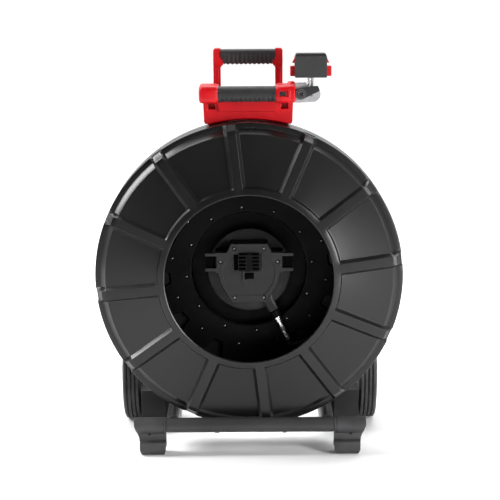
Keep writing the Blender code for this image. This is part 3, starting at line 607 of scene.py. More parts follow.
for side, name in ((-1, "left"), (1, "right")):
    width = WHEEL_X[1] - WHEEL_X[0]
    start = at(side * WHEEL_X[0], WHEEL_Y, WHEEL_R)
    out = Vector((side, 0, 0))
    centre = start + out * width / 2
    tyre = turned(tyre_rows(width), out, start, 96)
    fit(piece(f"tyre_{name}_ribbed", tyre, TYRE_RUBBER, sharp=40), f"wheel_{name}", "tyre_rubber",
        f"tyre_{name}")
    hub = turned(mirrored([(WHEEL_AXLE_R + GAP, 0.001), (0.0175, 0.001), (0.0195, 0.0030), (0.0205, 0.0080)],
                          width), out, start, 64)
    ring = turned(mirrored([(0.0640, 0.0100), (0.0665, 0.0050), (0.0700, 0.0036), (0.0738, 0.0040)], width),
                  out, start, 96)
    web = turned(mirrored([(0.018, width / 2 - 0.0022), (0.067, width / 2 - 0.0022)], width), out, start, 96)
    half = width / 2 - 0.0085
    spoke = skin([[Vector((a, b, r)) for a, b in ((-half, -w), (half, -w), (half, w), (-half, w))]
                  for r, w in ((0.0185, 0.0030), (0.0420, 0.0021), (0.0670, 0.0032))])
    spokes = copies(f"spokes_{name}", spoke, BLACK_MOULDING, SPOKES, centre, 2 * math.pi / SPOKES,
                    axis=(1, 0, 0))
    fit(piece(f"wheel_rim_{name}_spoked", merged(hub, ring, web, spokes), BLACK_MOULDING, bevel=0.0007),
        f"wheel_{name}", "black_plastic", f"wheel_rim_{name}")
    cap = turned([(0, 0.0), (0.0134, 0.0), (0.0140, 0.0006), (0.0140, 0.0022), (0.0128, 0.0030),
                  (0.0104, 0.0034), (0.0098, 0.0056), (0.0086, 0.0064), (0.0030, 0.0065), (0.0026, 0.0056),
                  (0, 0.0056)], out, at(side * (WHEEL_X[1] + 0.0008), WHEEL_Y, WHEEL_R), 48)
    fit(piece(f"wheel_cap_{name}_pressed", cap, STEEL), "frame", "black_plastic", f"wheel_cap_{name}")

# Axle, bearings and slip ring at the drum's centre. The ground steel axle stands still;
# two sealed ball bearings and the copper-banded slip ring turn on it.
COPPER = finish("slip_ring_copper", (0.72, 0.40, 0.24), 0.34, metal=1.0, mottle=0.14, patch=60.0,
                grain=1400.0, depth=0.00003, stretch=(1, 16, 1))
for node, look in (("hub_axle", STEEL), ("bearing_front", STEEL), ("bearing_rear", STEEL),
                   ("slip_ring_rotor", COPPER), ("slip_ring_stator", BLACK_MOULDING)):
    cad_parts[node].data.materials[0] = look

# Front half of the drum. One glossy black blow-moulded shell: a shallow cone with a big
# round mouth, twelve raised ribs between sunk panels, and a stepped rim.
DRUM_R = 0.290
MOUTH_R = 0.1575
MOUTH_Y = -0.0375
RING_R = 0.170
PANEL_DROP = 0.0078
PANEL_END_R = 0.2705
STEP_END_R = 0.280
FLANGE_DEPTH = 0.0117
SHELL_WALL = 0.0035
RIBS = 12
TWELFTH = 2 * math.pi / RIBS
RIB_PHASE = math.radians(6.6)
RIB_TOP = 0.0168
RIB_BASE = 0.0285
CENTRE = at(0, 0, AXLE_Z)
DRUM_PLASTIC = finish("drum_plastic", (0.0060, 0.0058, 0.0059), 0.30, mottle=0.14, patch=6.0, grain=520.0,
                      depth=0.000012, spread=0.03, shine=0.40, stretch=(1, 1, 8),
                      turn=(0, math.radians(38), 0), worn=(0.13, 0.13, 0.132), wear=0.6)


def rib_line(r):
    """Depth of the rib tops and the inner ring at a radius."""
    return MOUTH_Y + (r - MOUTH_R) * 0.124


def shell_rows():
    """(panel radius, panel depth, rib radius, rib depth) from the mouth out and back inside."""
    sunk = rib_line(PANEL_END_R) + PANEL_DROP
    panel = [
        (MOUTH_R, MOUTH_Y + 0.0024),
        (MOUTH_R + 0.0007, MOUTH_Y + 0.0008),
        (MOUTH_R + 0.0022, MOUTH_Y),
        (RING_R - 0.0006, rib_line(RING_R - 0.0006)),
        (RING_R + 0.0006, rib_line(RING_R) + 0.0007),
        (RING_R + 0.0034, rib_line(RING_R) + PANEL_DROP - 0.0006),
        (RING_R + 0.0046, rib_line(RING_R) + PANEL_DROP),
        (PANEL_END_R - 0.0022, sunk - 0.0006),
        (PANEL_END_R - 0.0006, sunk - 0.0003),
        (PANEL_END_R + 0.0002, sunk + 0.0010),
        (STEP_END_R - 0.0010, -0.0045),
        (STEP_END_R, -0.0037),
        (DRUM_R - 0.0014, -0.0035),
        (DRUM_R - 0.0004, -0.0030),
        (DRUM_R, -0.0018),
        (DRUM_R, FLANGE_DEPTH - 0.0004),
        (DRUM_R - 0.0004, FLANGE_DEPTH),
        (DRUM_R - SHELL_WALL, FLANGE_DEPTH),
        (DRUM_R - SHELL_WALL, 0.0015),
        (STEP_END_R - 0.0035, 0.0002),
        (PANEL_END_R - 0.0030, sunk + 0.0040),
        (RING_R + 0.0020, rib_line(RING_R) + PANEL_DROP + SHELL_WALL),
        (MOUTH_R + 0.0004, MOUTH_Y + SHELL_WALL),
        (MOUTH_R, MOUTH_Y + SHELL_WALL - 0.0004),
    ]
    proud = [(r, rib_line(r)) for r in (RING_R + 0.0006, RING_R + 0.0034, RING_R + 0.0046,
                                        PANEL_END_R - 0.0022, PANEL_END_R + 0.0008)]
    rim = [
        (PANEL_END_R + 0.0022, rib_line(PANEL_END_R) + 0.0006),
        (STEP_END_R - 0.0024, rib_line(STEP_END_R) + 0.0010),
        (STEP_END_R - 0.0010, rib_line(STEP_END_R) + 0.0026),
        (DRUM_R - 0.0030, -0.0031),
        (DRUM_R - 0.0021, -0.0024),
        (DRUM_R - 0.0016, -0.0012),
        (DRUM_R - 0.0016, FLANGE_DEPTH - 0.0004),
        (DRUM_R - 0.0018, FLANGE_DEPTH),
    ]
    rib = [*panel[:4], *proud, *rim, *panel[17:]]
    return [(*p, *q) for p, q in zip(panel, rib)]


def shell_sector(spaces=5):
    """A twelfth of the shell, with one rib in its middle."""
    bm = bmesh.new()
    rows = []
    for panel_r, panel_y, rib_r, rib_y in shell_rows():
        foot = math.asin(RIB_BASE / 2 / panel_r)
        top = math.asin(RIB_TOP / 2 / rib_r)
        edge = math.pi / RIBS
        half = [(top * 0.5, rib_r, rib_y), (top, rib_r, rib_y)]
        half += [(foot + (edge - foot) * k / spaces, panel_r, panel_y) for k in range(spaces + 1)]
        across = [(-t, r, y) for t, r, y in reversed(half)] + [(0.0, rib_r, rib_y)] + half
        rows.append([bm.verts.new((r * math.cos(t), y, r * math.sin(t))) for t, r, y in across])
    for low, high in zip(rows, rows[1:] + rows[:1]):
        for i in range(len(low) - 1):
            bm.faces.new((low[i], low[i + 1], high[i + 1], high[i]))
    return bm


shell = copies("front_shell_twelfth", shell_sector(), DRUM_PLASTIC, RIBS, CENTRE, TWELFTH,
               -RIB_PHASE, weld=SEAM)
bmesh.ops.recalc_face_normals(shell, faces=shell.faces)
fit(piece("drum_front_moulding", shell, DRUM_PLASTIC, sharp=28, bevel=0.0005), "drum", "drum_plastic",
    "drum_front_shell")

# Rear half of the drum. The same plastic, with a well for the bearings and ribs on its
# back. Inside are a thin dark sheet over the well, painted shade, and a raised plate with twelve notches.
DRUM_DEPTH = 0.0785
WELL_R = 0.1118
WELL_DEPTH = 0.1015
BEARING_R = 0.0260
PLATE_Y = 0.0668
# Matt black plastic for the parts inside the drum's mouth. It is darker and duller than the drum plastic:
# partly their own black, partly painted shade for the dark inside of the drum.
INNER_BLACK_AND_SHADE = finish("inner_black_and_painted_shade", (0.0024, 0.0024, 0.0026), 0.44, mottle=0.16, patch=12.0,
                      grain=420.0, depth=0.00009, worn=(0.04, 0.04, 0.04), wear=0.4, shine=0.08)
start = FLANGE_DEPTH + 0.0008
inner = DRUM_DEPTH - SHELL_WALL
well = WELL_DEPTH - SHELL_WALL
rear = [
    (DRUM_R, start + 0.0004),
    (DRUM_R, 0.0300),
    (DRUM_R - 0.0008, 0.0312),
    (DRUM_R - 0.0008, 0.0360),
    (DRUM_R, 0.0372),
    (DRUM_R, DRUM_DEPTH - 0.0050),
    (DRUM_R - 0.0015, DRUM_DEPTH - 0.0014),
    (DRUM_R - 0.0050, DRUM_DEPTH),
    (WELL_R + SHELL_WALL + 0.0020, DRUM_DEPTH),
    (WELL_R + SHELL_WALL, DRUM_DEPTH + 0.0020),
    (WELL_R + SHELL_WALL, WELL_DEPTH - 0.0020),
    (WELL_R + SHELL_WALL - 0.0020, WELL_DEPTH),
    (BEARING_R + GAP, WELL_DEPTH),
    (BEARING_R + GAP, well),
    (WELL_R, well),
    (WELL_R, inner - 0.0035),
    (WELL_R + 0.004, inner - 0.0035),
    (WELL_R + 0.004, inner),
    (DRUM_R - SHELL_WALL, inner),
    (DRUM_R - SHELL_WALL, start),
    (DRUM_R - 0.0004, start),
]
root = DRUM_DEPTH - 0.001
spine = skin([[Vector((r, root + a, b)) for a, b in ((0, -w), (0, w), (h, w * 0.6), (h, -w * 0.6))]
              for r, w, h in ((WELL_R + 0.0045, 0.0032, 0.0110), (0.150, 0.0032, 0.0058),
                              (0.268, 0.0032, 0.0050), (0.282, 0.0026, 0.0012))])
spines = copies("rear_spine", spine, DRUM_PLASTIC, RIBS, CENTRE, TWELFTH, -RIB_PHASE)
bands = [turned([(r - 0.0022, root), (r - 0.0014, root + 0.0038), (r + 0.0014, root + 0.0038),
                 (r + 0.0022, root)], (0, 1, 0), CENTRE, 144) for r in (0.160, 0.225)]
# A thin sheet of the darker inner plastic over the well's floor and walls: painted shade in the well.
well_shade_sheet = turned([(0.0405, well - 0.0012), (WELL_R - 0.0014, well - 0.0012),
                (WELL_R - 0.0014, PLATE_Y + 0.0030), (WELL_R - 0.0004, PLATE_Y + 0.0020),
                (WELL_R - 0.0004, well - 0.0002), (0.0405, well - 0.0002)], (0, 1, 0), CENTRE, 144)
fit(piece("drum_well_painted_shade_sheet", well_shade_sheet, INNER_BLACK_AND_SHADE, bevel=0.0003), "drum", "drum_plastic")
fit(piece("drum_rear_moulding", merged(turned(rear, (0, 1, 0), CENTRE, 144), spines, *bands),
          DRUM_PLASTIC, sharp=28, bevel=0.0006), "drum", "drum_plastic", "drum_rear_shell")


def plate_sector():
    """A twelfth of the notched plate, with one notch in its middle."""
    edge = math.pi / RIBS
    lean = math.asin(0.0235 / 0.190)
    slot = math.asin(0.0104 / 0.152)
    reach = 0.1900
    outer = [(-edge, reach), (-lean, reach), (-slot, 0.1532), (-slot * 0.86, 0.1522), (0.0, 0.1520),
             (slot * 0.86, 0.1522), (slot, 0.1532), (lean, reach), (edge, reach)]
    steps = 6
    hole = [(-edge + 2 * edge * k / steps, WELL_R + 0.0008) for k in range(steps + 1)]
    draft = 0.0045
    foot = [(t * 0.84 if abs(t) <= lean else t, r + draft if r < reach else r) for t, r in outer]
    bm = bmesh.new()
    loops = []
    for y, edge_line in ((PLATE_Y, outer), (inner + 0.001, foot)):
        loops.append([[bm.verts.new((r * math.cos(t), y, r * math.sin(t))) for t, r in line]
                      for line in (edge_line, hole)])
    for line, (front_row, back_row) in enumerate(zip(*loops)):
        for i in range(len(front_row) - 1):
            quad = (front_row[i], front_row[i + 1], back_row[i + 1], back_row[i])
            bm.faces.new(quad if line else quad[::-1])
    for outer_row, hole_row in loops:
        bm.faces.new([*outer_row, *reversed(hole_row)])
    return bm


def ring_spots(radius, first, y):
    """Twelve points round the axle line at a radius, from a first angle in degrees."""
    turns = [math.radians(first + 30 * k) for k in range(RIBS)]
    return [CENTRE + Vector((radius * math.cos(t), y, radius * math.sin(t))) for t in turns]


plate = copies("plate_twelfth", plate_sector(), INNER_BLACK_AND_SHADE, RIBS, CENTRE, TWELFTH,
               -RIB_PHASE, weld=SEAM)
bmesh.ops.recalc_face_normals(plate, faces=plate.faces)
plate = piece("drum_notched_plate", plate, INNER_BLACK_AND_SHADE, bevel=0.0007)
SCREW_RINGS = ((0.1216, 6.6), (0.1495, 21.6))
holes = [rod(0.0042, spot, spot + Vector((0, 0.0040, 0)), 20, 0.0002)
         for radius, first in SCREW_RINGS for spot in ring_spots(radius, first, PLATE_Y - 0.0008)]
fit(carve(plate, holes), "drum", "drum_plastic")

# Drum screws. Twenty-four blackened thread-forming screws hold the hub and the notched plate to
# the rear shell, each sunk in its own hole.
BRIGHT_STEEL = finish("bright_steel", (0.82, 0.82, 0.83), 0.16, metal=1.0, mottle=0.06, patch=40.0,
                      grain=900.0, depth=0.00002, spread=0.06)
SCREW_STEEL = finish("screw_steel", (0.11, 0.11, 0.115), 0.24, metal=1.0, mottle=0.2, patch=200.0,
                     grain=2000.0, depth=0.00002, spread=0.08, worn=(0.6, 0.6, 0.6), wear=0.5)
head = [turned([(0, 0.0009), (0.0010, 0.0009), (0.0012, 0.0001), (0.0020, 0.0003), (0.0027, 0.0010),
                (0.0029, 0.0018), (0.0029, 0.0030), (0, 0.0030)], (0, 1, 0), (radius, 0, 0), 16)
        for radius, first in SCREW_RINGS]
middle = CENTRE + Vector((0, PLATE_Y + 0.0006, 0))
rings = [copies(f"drum_screw_ring_{i}", head[i], SCREW_STEEL, RIBS, middle, TWELFTH,
                -math.radians(first)) for i, (radius, first) in enumerate(SCREW_RINGS)]
fit(piece("drum_screws", merged(*rings), SCREW_STEEL), "drum", "steel")

# Hub disc and arm. A black nylon disc turns with the drum; its arm carries the cable out
# through a collar to a plated connector with a tapering bend-relief spring.
HUB_DISC_R = 0.0805
HUB_Y = (0.0625, 0.0690)
ARM_TILT = math.radians(-63.0)
ARM_SIDE = 0.0055
ahead = Vector((math.cos(ARM_TILT), 0, math.sin(ARM_TILT)))
beside = Vector((-math.sin(ARM_TILT), 0, math.cos(ARM_TILT)))


def along_arm(t):
    """The point on the arm's middle line at that distance from the drum's centre."""
    return CENTRE + Vector((0, 0.0610, 0)) + beside * ARM_SIDE + ahead * t


hub = [
    (BEARING_R + GAP, HUB_Y[0]),
    (0.0560, HUB_Y[0]),
    (0.0564, HUB_Y[0] + 0.0010),
    (0.0590, HUB_Y[0] + 0.0010),
    (0.0594, HUB_Y[0]),
    (HUB_DISC_R - 0.0030, HUB_Y[0]),
    (HUB_DISC_R - 0.0008, HUB_Y[0] + 0.0010),
    (HUB_DISC_R, HUB_Y[0] + 0.0028),
    (HUB_DISC_R, HUB_Y[1]),
    (0.040, HUB_Y[1]),
    (0.040, well - GAP),
    (BEARING_R + GAP, well - GAP),
]
half = 0.0102
lean = 0.0066
sections = []
for t, wide, deep in ((0.0560, half + 0.003, 0.0050), (0.0720, half, lean), (0.0916, half, lean),
                      (0.0930, half - 0.0012, lean - 0.0012)):
    middle = along_arm(t)
    ring = []
    for s, d in ((1, 0.55), (0.6, 1), (-0.6, 1), (-1, 0.55), (-1, -0.55), (-0.6, -1), (0.6, -1), (1, -0.55)):
        ring.append(middle + beside * wide * s + Vector((0, deep * d, 0)))
    sections.append(ring)
fit(piece("hub_disc_and_arm", merged(turned(hub, (0, 1, 0), CENTRE, 96), skin(sections)), BLACK_MOULDING,
          bevel=0.0004), "drum", "black_plastic", "hub_disc")
length = 0.1055 - 0.0933
collar_rows = [(0, 0), (0.0094, 0), (0.0104, 0.0008)]
for k in range(4):
    low = 0.0020 + k * 0.0024
    collar_rows += [(0.0104, low), (0.0098, low + 0.0004), (0.0098, low + 0.0012), (0.0104, low + 0.0016)]
collar_rows += [(0.0104, length - 0.0006), (0.0096, length), (0, length)]
fit(piece("arm_collar_ribbed", turned(collar_rows, ahead, along_arm(0.0933), 40), INNER_BLACK_AND_SHADE), "drum",
    "black_plastic", "arm_collar")
fitting = [(0, 0), (0.0086, 0), (0.0092, 0.0006), (0.0092, 0.0026), (0.0080, 0.0032), (0.0070, 0.0036),
           (0.0070, 0.0066), (0.0083, 0.0070), (0.0083, 0.0098), (0.0076, 0.0104), (0.0066, 0.0110),
           (0.0066, 0.0140), (0.0073, 0.0144), (0.0073, 0.0172), (0.0064, 0.0182), (0.0064, 0.0190),
           (0, 0.0190)]
fit(piece("cable_connector_plated", turned(fitting, ahead, along_arm(0.1058), 40), BRIGHT_STEEL), "drum",
    "bright_steel", "cable_connector")


def helix_tree():
    """Turns of round wire or cable along an axis, with a start and an end radius."""
    tree, given = new_tree("turns_of_wire", {
        "Turns": "Float", "Start Radius": "Float", "End Radius": "Float", "Length": "Float",
        "Wire Radius": "Float", "Steps": "Int", "Sides": "Int", "Axis Turn": "Rotation",
        "Centre": "Vector"})
    spiral = add(tree, "GeometryNodeCurveSpiral", {
        "Resolution": given["Steps"], "Rotations": given["Turns"], "Start Radius": given["Start Radius"],
        "End Radius": given["End Radius"], "Height": given["Length"]})[0]
    wire = add(tree, "GeometryNodeCurvePrimitiveCircle",
               {"Resolution": given["Sides"], "Radius": given["Wire Radius"]})[0]
    shape = add(tree, "GeometryNodeCurveToMesh",
                {"Curve": spiral, "Profile Curve": wire, "Fill Caps": True})[0]
    shape = add(tree, "GeometryNodeTransform", {"Geometry": shape, "Rotation": given["Axis Turn"],
                                                "Translation": given["Centre"]})[0]
    shape = add(tree, "GeometryNodeRealizeInstances", {0: shape})[0]
    return end_tree(tree, shape, given)


HELIX = helix_tree()


def wire_turns(name, look, start, axis, length, turns, radii, wire, steps=24, sides=10):
    """A coil of wire from a point along an axis. radii are those of its middle line."""
    facing = Vector((0, 0, 1)).rotation_difference(Vector(axis)).to_euler()
    seed = bmesh.new()
    seed.verts.new((0, 0, 0))
    made = run_tree(name, seed, HELIX, look, Turns=float(turns), Start_Radius=radii[0], End_Radius=radii[1],
                    Length=length, Wire_Radius=wire, Steps=steps, Sides=sides, Axis_Turn=facing,
                    Centre=tuple(start))
    bmesh.ops.recalc_face_normals(made, faces=made.faces)
    return made


length = 0.1570 - 0.1251
spring = wire_turns("connector_spring_wire", STEEL, along_arm(0.1258), ahead, length - 0.0014, 11,
                    (0.0056, 0.0048), 0.0012)
core = rod(0.0044, along_arm(0.1251), along_arm(0.1570), 24)
bands = [turned([(0, t), (0.0066, t), (0.0070, t + 0.0008), (0.0070, t + 0.0026), (0.0066, t + 0.0034),
                 (0, t + 0.0034)], ahead, along_arm(0.1251), 32) for t in (0.0, 0.0110, 0.0220)]
fit(piece("connector_spring_coil", merged(spring, core, *bands), STEEL), "drum", "steel",
    "connector_spring")

# Push cable. Stiff jacketed cable wound in layers in the drum, with one end in the hub's
# connector and the other in the camera's tail. Its jacket is smooth black plastic.
CABLE_R = 0.0055
CABLE_JACKET = finish("cable_jacket", (0.020, 0.020, 0.022), 0.44, mottle=0.25, patch=18.0, grain=1500.0,
                      depth=0.00006, spread=0.10)
BACK = Vector((0, 1, 0))


def smooth_route(points, pieces):
    """A smooth curve through points, with that many pieces between each two."""
    points = [Vector(p) for p in points]
    ends = [2 * points[0] - points[1], *points, 2 * points[-1] - points[-2]]
    out = []
    for a, b, c, d in zip(ends, ends[1:], ends[2:], ends[3:]):
        for k in range(pieces):
            t = k / pieces
            out.append(
                0.5 * (2 * b + (c - a) * t + (2 * a - 5 * b + 4 * c - d) * t * t
                       + (3 * b - a - 3 * c + d) * t ** 3)
            )
    return [*out, points[-1]]


def polar(r, degrees, y):
    """The point at that radius and angle round the drum's centre, and that depth."""
    turn = math.radians(degrees)
    return CENTRE + Vector((r * math.cos(turn), y, r * math.sin(turn)))


layers = []
pitch = 2 * CABLE_R
for k in range(8):
    r = 0.1985 + k * pitch * 0.99
    front = -0.0130 + 0.5 * pitch * (k % 2) if r < 0.258 else 0.0125 if r > 0.275 else 0.0020
    turns = int((0.0640 - front) / pitch)
    layers.append(wire_turns(f"cable_layer_{k}", CABLE_JACKET, CENTRE + BACK * (0.0640 - turns * pitch), BACK,
                             turns * pitch, turns, (r, r), CABLE_R - 0.0001, 72, 10))
fit(piece("push_cable_turns", merged(*layers), CABLE_JACKET, sharp=50), "drum", "cable_jacket",
    "push_cable_coil")
lead = [along_arm(0.1582), along_arm(0.1640), along_arm(0.1690), polar(0.1800, -49, 0.060),
        polar(0.1850, -38, 0.058), polar(0.1860, -26, 0.055), polar(0.1860, -12, 0.052)]
fit(piece("push_cable_lead_run", swept(smooth_route(lead, 10), CABLE_R, 20), CABLE_JACKET, sharp=50),
    "drum", "cable_jacket", "push_cable_lead")

# Camera head. A polished steel barrel with a sapphire window inside a ring of lights, and a
# spring that lets it turn bends; it lies clipped behind the mouth's upper lip.
LENS_GLASS = finish("lens_glass", (0.008, 0.009, 0.014), 0.05, mottle=0.1, patch=200.0, grain=2000.0,
                    depth=0.000002, spread=0.02, coat=1.0)
LED_WINDOW = finish("led_window", (0.86, 0.84, 0.74), 0.18, mottle=0.06, patch=300.0, grain=2000.0,
                    depth=0.00001, spread=0.05, coat=0.6)
MIDDLE = 104.0
spot_turn = math.radians(MIDDLE)
tangent = Vector((math.sin(spot_turn), 0, -math.cos(spot_turn)))
spot = polar(0.1710, MIDDLE, 0.0120) + tangent * 0.034
barrel = [(0, 0), (0.0122, 0), (0.0126, 0.0004), (0.0134, 0.0008), (0.0140, 0.0018), (0.0140, 0.0090),
          (0.0134, 0.0094), (0.0134, 0.0106), (0.0140, 0.0110), (0.0140, 0.0290), (0.0130, 0.0312),
          (0.0104, 0.0338), (0.0090, 0.0352), (0.0086, 0.0360), (0, 0.0360)]
fit(piece("camera_barrel", turned(barrel, -tangent, spot, 64), BRIGHT_STEEL), "drum", "bright_steel",
    "camera_head")
ring = turned([(0.0068, GAP), (0.0120, GAP), (0.0119, 0.0012), (0.0112, 0.0030), (0.0070, 0.0030),
               (0.0068, 0.0028)], tangent, spot, 48)
lamp = turned([(0, 0.0028), (0.0011, 0.0028), (0.0011, 0.0032), (0.0006, 0.0037), (0, 0.0038)], (1, 0, 0),
              (0, 0.0092, 0), 12)
facing = Vector((1, 0, 0)).rotation_difference(tangent).to_matrix()
lamps = copies("camera_lamps", lamp, LED_WINDOW, 8, (0, 0, 0), math.pi / 4, axis=(1, 0, 0))
bmesh.ops.transform(lamps, matrix=Matrix.Translation(spot) @ facing.to_4x4(), verts=lamps.verts)
fit(piece("camera_lights", merged(ring, lamps), LED_WINDOW), "drum", "led_window", "camera_led_ring")
glass = [(0, GAP), (0.0064, GAP), (0.0062, 0.0036), (0.0050, 0.0042), (0.0026, 0.0046), (0, 0.0048)]
fit(piece("camera_window", turned(glass, tangent, spot, 48), LENS_GLASS), "drum", "lens", "camera_lens")
tail = spot - tangent * (0.036 + GAP)
flex = wire_turns("camera_spring_wire", STEEL, tail - tangent * 0.0010, -tangent, 0.028, 13,
                  (0.0058, 0.0058), 0.0010)
ends = [turned([(0, t), (0.0066, t), (0.0068, t + 0.0006), (0.0068, t + 0.0018), (0, t + 0.0024)], -tangent,
               tail, 32) for t in (0.0, 0.0276)]
fit(piece("camera_spring_coil", merged(flex, rod(0.0046, tail, tail - tangent * 0.030, 24), *ends), STEEL),
    "drum", "steel", "camera_spring")
end = tail - tangent * 0.0315
rest = [end, end - tangent * 0.010, polar(0.1815, 130, 0.016), polar(0.1855, 142, 0.020),
        polar(0.1860, 156, 0.024)]
fit(piece("push_cable_tail_run", swept(smooth_route(rest, 10), CABLE_R, 20), CABLE_JACKET, sharp=50),
    "drum", "cable_jacket", "push_cable_tail")

# Docking station. A textured nylon cover on a matching housing, fixed to the still axle by
# six screws in counterbores; a control hub slides on its four side rails.
DOCK_Y = (0.0080, 0.0135, 0.0545)
DOCK_ARM_X = 0.0830
SCREW_PLACES = ((0.0281, 0.0508), (0.0541, 0.0256), (0.0277, -0.0434))
DOCK_NYLON = finish("dock_nylon", (0.014, 0.014, 0.0145), 0.50, mottle=0.14, patch=24.0, grain=1700.0,
                    depth=0.00009, worn=(0.13, 0.13, 0.13), wear=0.5)


def dock_outline(grow=0.0):
    """The docking cover seen from the front, round the drum axis."""
    right = [(0.0336, 0.0591), (0.0418, 0.0426), (0.0622, 0.0426), (0.0622, 0.0052), (0.0578, 0.0048),
             (0.0562, -0.0040), (0.0545, -0.0110), (0.0513, -0.0194), (0.0470, -0.0270), (0.0322, -0.0506)]
    right = [(x + grow, z + math.copysign(grow, z)) for x, z in right]
    left = [(-x, z) for x, z in reversed(right)]
    return [(x, AXLE_Z + z) for x, z in right + left]


def dock_inset():
    """The sunk field inside the cover's raised rim."""
    right = [(0.0180, 0.0440), (0.0300, 0.0440), (0.0372, 0.0375), (0.0500, 0.0140), (0.0500, 0.0010),
             (0.0470, -0.0120), (0.0425, -0.0215), (0.0355, -0.0320), (0.0265, -0.0395)]
    left = [(-x, z) for x, z in reversed(right)]
    return [(x, AXLE_Z + z) for x, z in right + left]


def on_cover(x, y, z):
    """A box whose y is measured back from the cover's face and whose z is up from the axle."""
    return block(x, (front + y[0], front + y[1]), (AXLE_Z + z[0], AXLE_Z + z[1]))


front, joint, rear_face = DOCK_Y
housing = piece("dock_housing_box", prism(dock_outline(0.0015), joint + GAP, rear_face), INNER_BLACK_AND_SHADE,
                bevel=0.0012, segments=3)
bore = rod(0.0153, at(0, joint + 0.02, AXLE_Z), at(0, rear_face + 0.01, AXLE_Z), 48)
fit(carve(housing, [bore]), "frame", "black_plastic", "dock_housing")

spots = [(side * x, AXLE_Z + z) for x, z in SCREW_PLACES for side in (-1, 1)]
counterbores = [turned([(0, -0.001), (0.0052, -0.001), (0.0046, 0.0004), (0.0046, 0.0024), (0, 0.0024)],
                       (0, 1, 0), at(x, front, z), 32) for x, z in spots]
cover = piece("dock_cover_plate", prism(dock_outline(), front, joint), DOCK_NYLON, bevel=0.0008, segments=3)
side_slots = [on_cover((side * 0.0635, side * 0.0600), (-0.001, 0.0030), (0.0150, 0.0355))
              for side in (-1, 1)]
mouth = on_cover((-0.0090, 0.0090), (-0.001, 0.0040), (-0.0075, 0.0050))
void = on_cover((-0.0290, -0.0205), (-0.001, 0.0044), (0.0090, 0.0400))
carve(cover, [prism(dock_inset(), front - 0.001, front + 0.0019), *counterbores, *side_slots])
carve(cover, [mouth, void])
step = joint - front
rails = [on_cover((side * 0.0605, side * DOCK_ARM_X), (0.0003, step + 0.006), (low, high))
         for side in (-1, 1) for low, high in ((0.0364, 0.0418), (0.0074, 0.0134))]
bracket = [on_cover((-0.0125, -0.0095), (-0.0010, 0.0020), (-0.0085, 0.0058)),
           on_cover((-0.0125, -0.0040), (-0.0010, 0.0020), (-0.0103, -0.0080)),
           on_cover((-0.0125, -0.0040), (-0.0010, 0.0020), (0.0052, 0.0074)),
           on_cover((0.0232, 0.0256), (-0.0016, 0.0020), (0.0080, 0.0410))]
# Dead-black blocks in the mouth and the void, behind the terminal fins and between the rails: painted shade
# in those recesses.
painted_shade_blocks = [on_cover((-0.0088, 0.0088), (0.0030, 0.0042), (-0.0073, 0.0048)),
           on_cover((-0.0288, -0.0192), (0.0022, 0.0046), (0.0085, 0.0405)),
           on_cover((-0.0192, 0.0192), (0.0010, 0.0020), (0.0085, 0.0425))]
painted_shade_blocks += [on_cover((side * 0.0610, side * 0.0805), (step + 0.0010, step + 0.0050), (0.0138, 0.0360))
            for side in (-1, 1)]
# Black without gloss, for the blocks of painted shade.
PAINTED_SHADE_BLACK = finish("painted_shade_black", (0.0022, 0.0022, 0.0023), 0.75, mottle=0.1, grain=900.0, depth=0.00005,
                    shine=0.0)
fit(piece("dock_painted_shade_blocks", merged(*painted_shade_blocks), PAINTED_SHADE_BLACK, bevel=0.0003), "frame", "black_plastic")
parts = piece("dock_rails_and_ribs", merged(*rails, *bracket), DOCK_NYLON, bevel=0.0006)
fit(parts, "frame", "black_plastic", "dock_cover")
fit(cover, "frame", "black_plastic")
screw = [(0, 0.0010), (0.0011, 0.0010), (0.0013, 0.0001), (0.0022, 0.0001), (0.0029, 0.0006),
         (0.0033, 0.0014), (0.0033, 0.0024), (0, 0.0024)]
for i, (x, z) in enumerate(spots, 1):
    fit(piece(f"dock_screw_{i}_head", turned(screw, (0, 1, 0), at(x, front + 0.0001, z), 24), SCREW_STEEL),
        "frame", "steel", f"dock_screw_{i}")

# Terminal block. A stack of moulded plastic fins in two rows, with a spine between them
# that carries the contacts for the control hub. It stands on the docking cover.
FINS = 5
low, high = 0.0096, 0.0412
pitch = (high - low) / (FINS - 0.45)
fin = merged(*[block((side * 0.0050, side * 0.0190), (front - 0.0118, front - GAP), (low, low + pitch * 0.5))
               for side in (-1, 1)])
fins = copies("terminal_fin", fin, INNER_BLACK_AND_SHADE, FINS, (0, 0, AXLE_Z), shift=(0, 0, pitch))
spine = [on_cover((-0.0065, 0.0065), (-0.0112, -GAP), (low, high)),
         on_cover((-0.0030, 0.0030), (-0.0119, -GAP), (low - 0.001, low + 0.0040)),
         on_cover((-0.0030, 0.0030), (-0.0119, -GAP), (high - 0.004, high + 0.001))]
fit(piece("terminal_block_fins", merged(fins, *spine), INNER_BLACK_AND_SHADE, bevel=0.0005), "frame",
    "black_plastic", "terminal_block")

# Top bracket. One bright red glass-filled nylon moulding that bridges the drum: two arms
# that hold the front grip, a curved skirt, sockets behind for the uprights, and at the
# right a round boss for the monitor arm.
TOP_X = (-0.0905, 0.0825)
SKIRT_HALF = 0.0845
SKIRT_Y = (0.0300, 0.1400)
SKIRT_TOP_Z = 0.6700
ARM_Z = (0.6622, 0.6950)
ARM_Y = (-0.0200, 0.0460)
GRIP_X = (-0.0545, 0.0505)
GRIP_Y = -0.0050
GRIP_Z = 0.6785
GRIP_R = 0.0148
LEG = (0.0142, 0.0100)
BUTTON_X = (0.0583, 0.0697)
BUTTON_Z = (0.6757, 0.6838)
BOSS_X = 0.0733
BOSS_R = 0.0195
ARM_C = (0.0300, 0.6800)
RED_NYLON = finish("red_nylon", (0.50, 0.0022, 0.0070), 0.40, mottle=0.10, patch=20.0, grain=1500.0,
                   depth=0.00007, spread=0.07, worn=(0.66, 0.03, 0.035), wear=0.4)


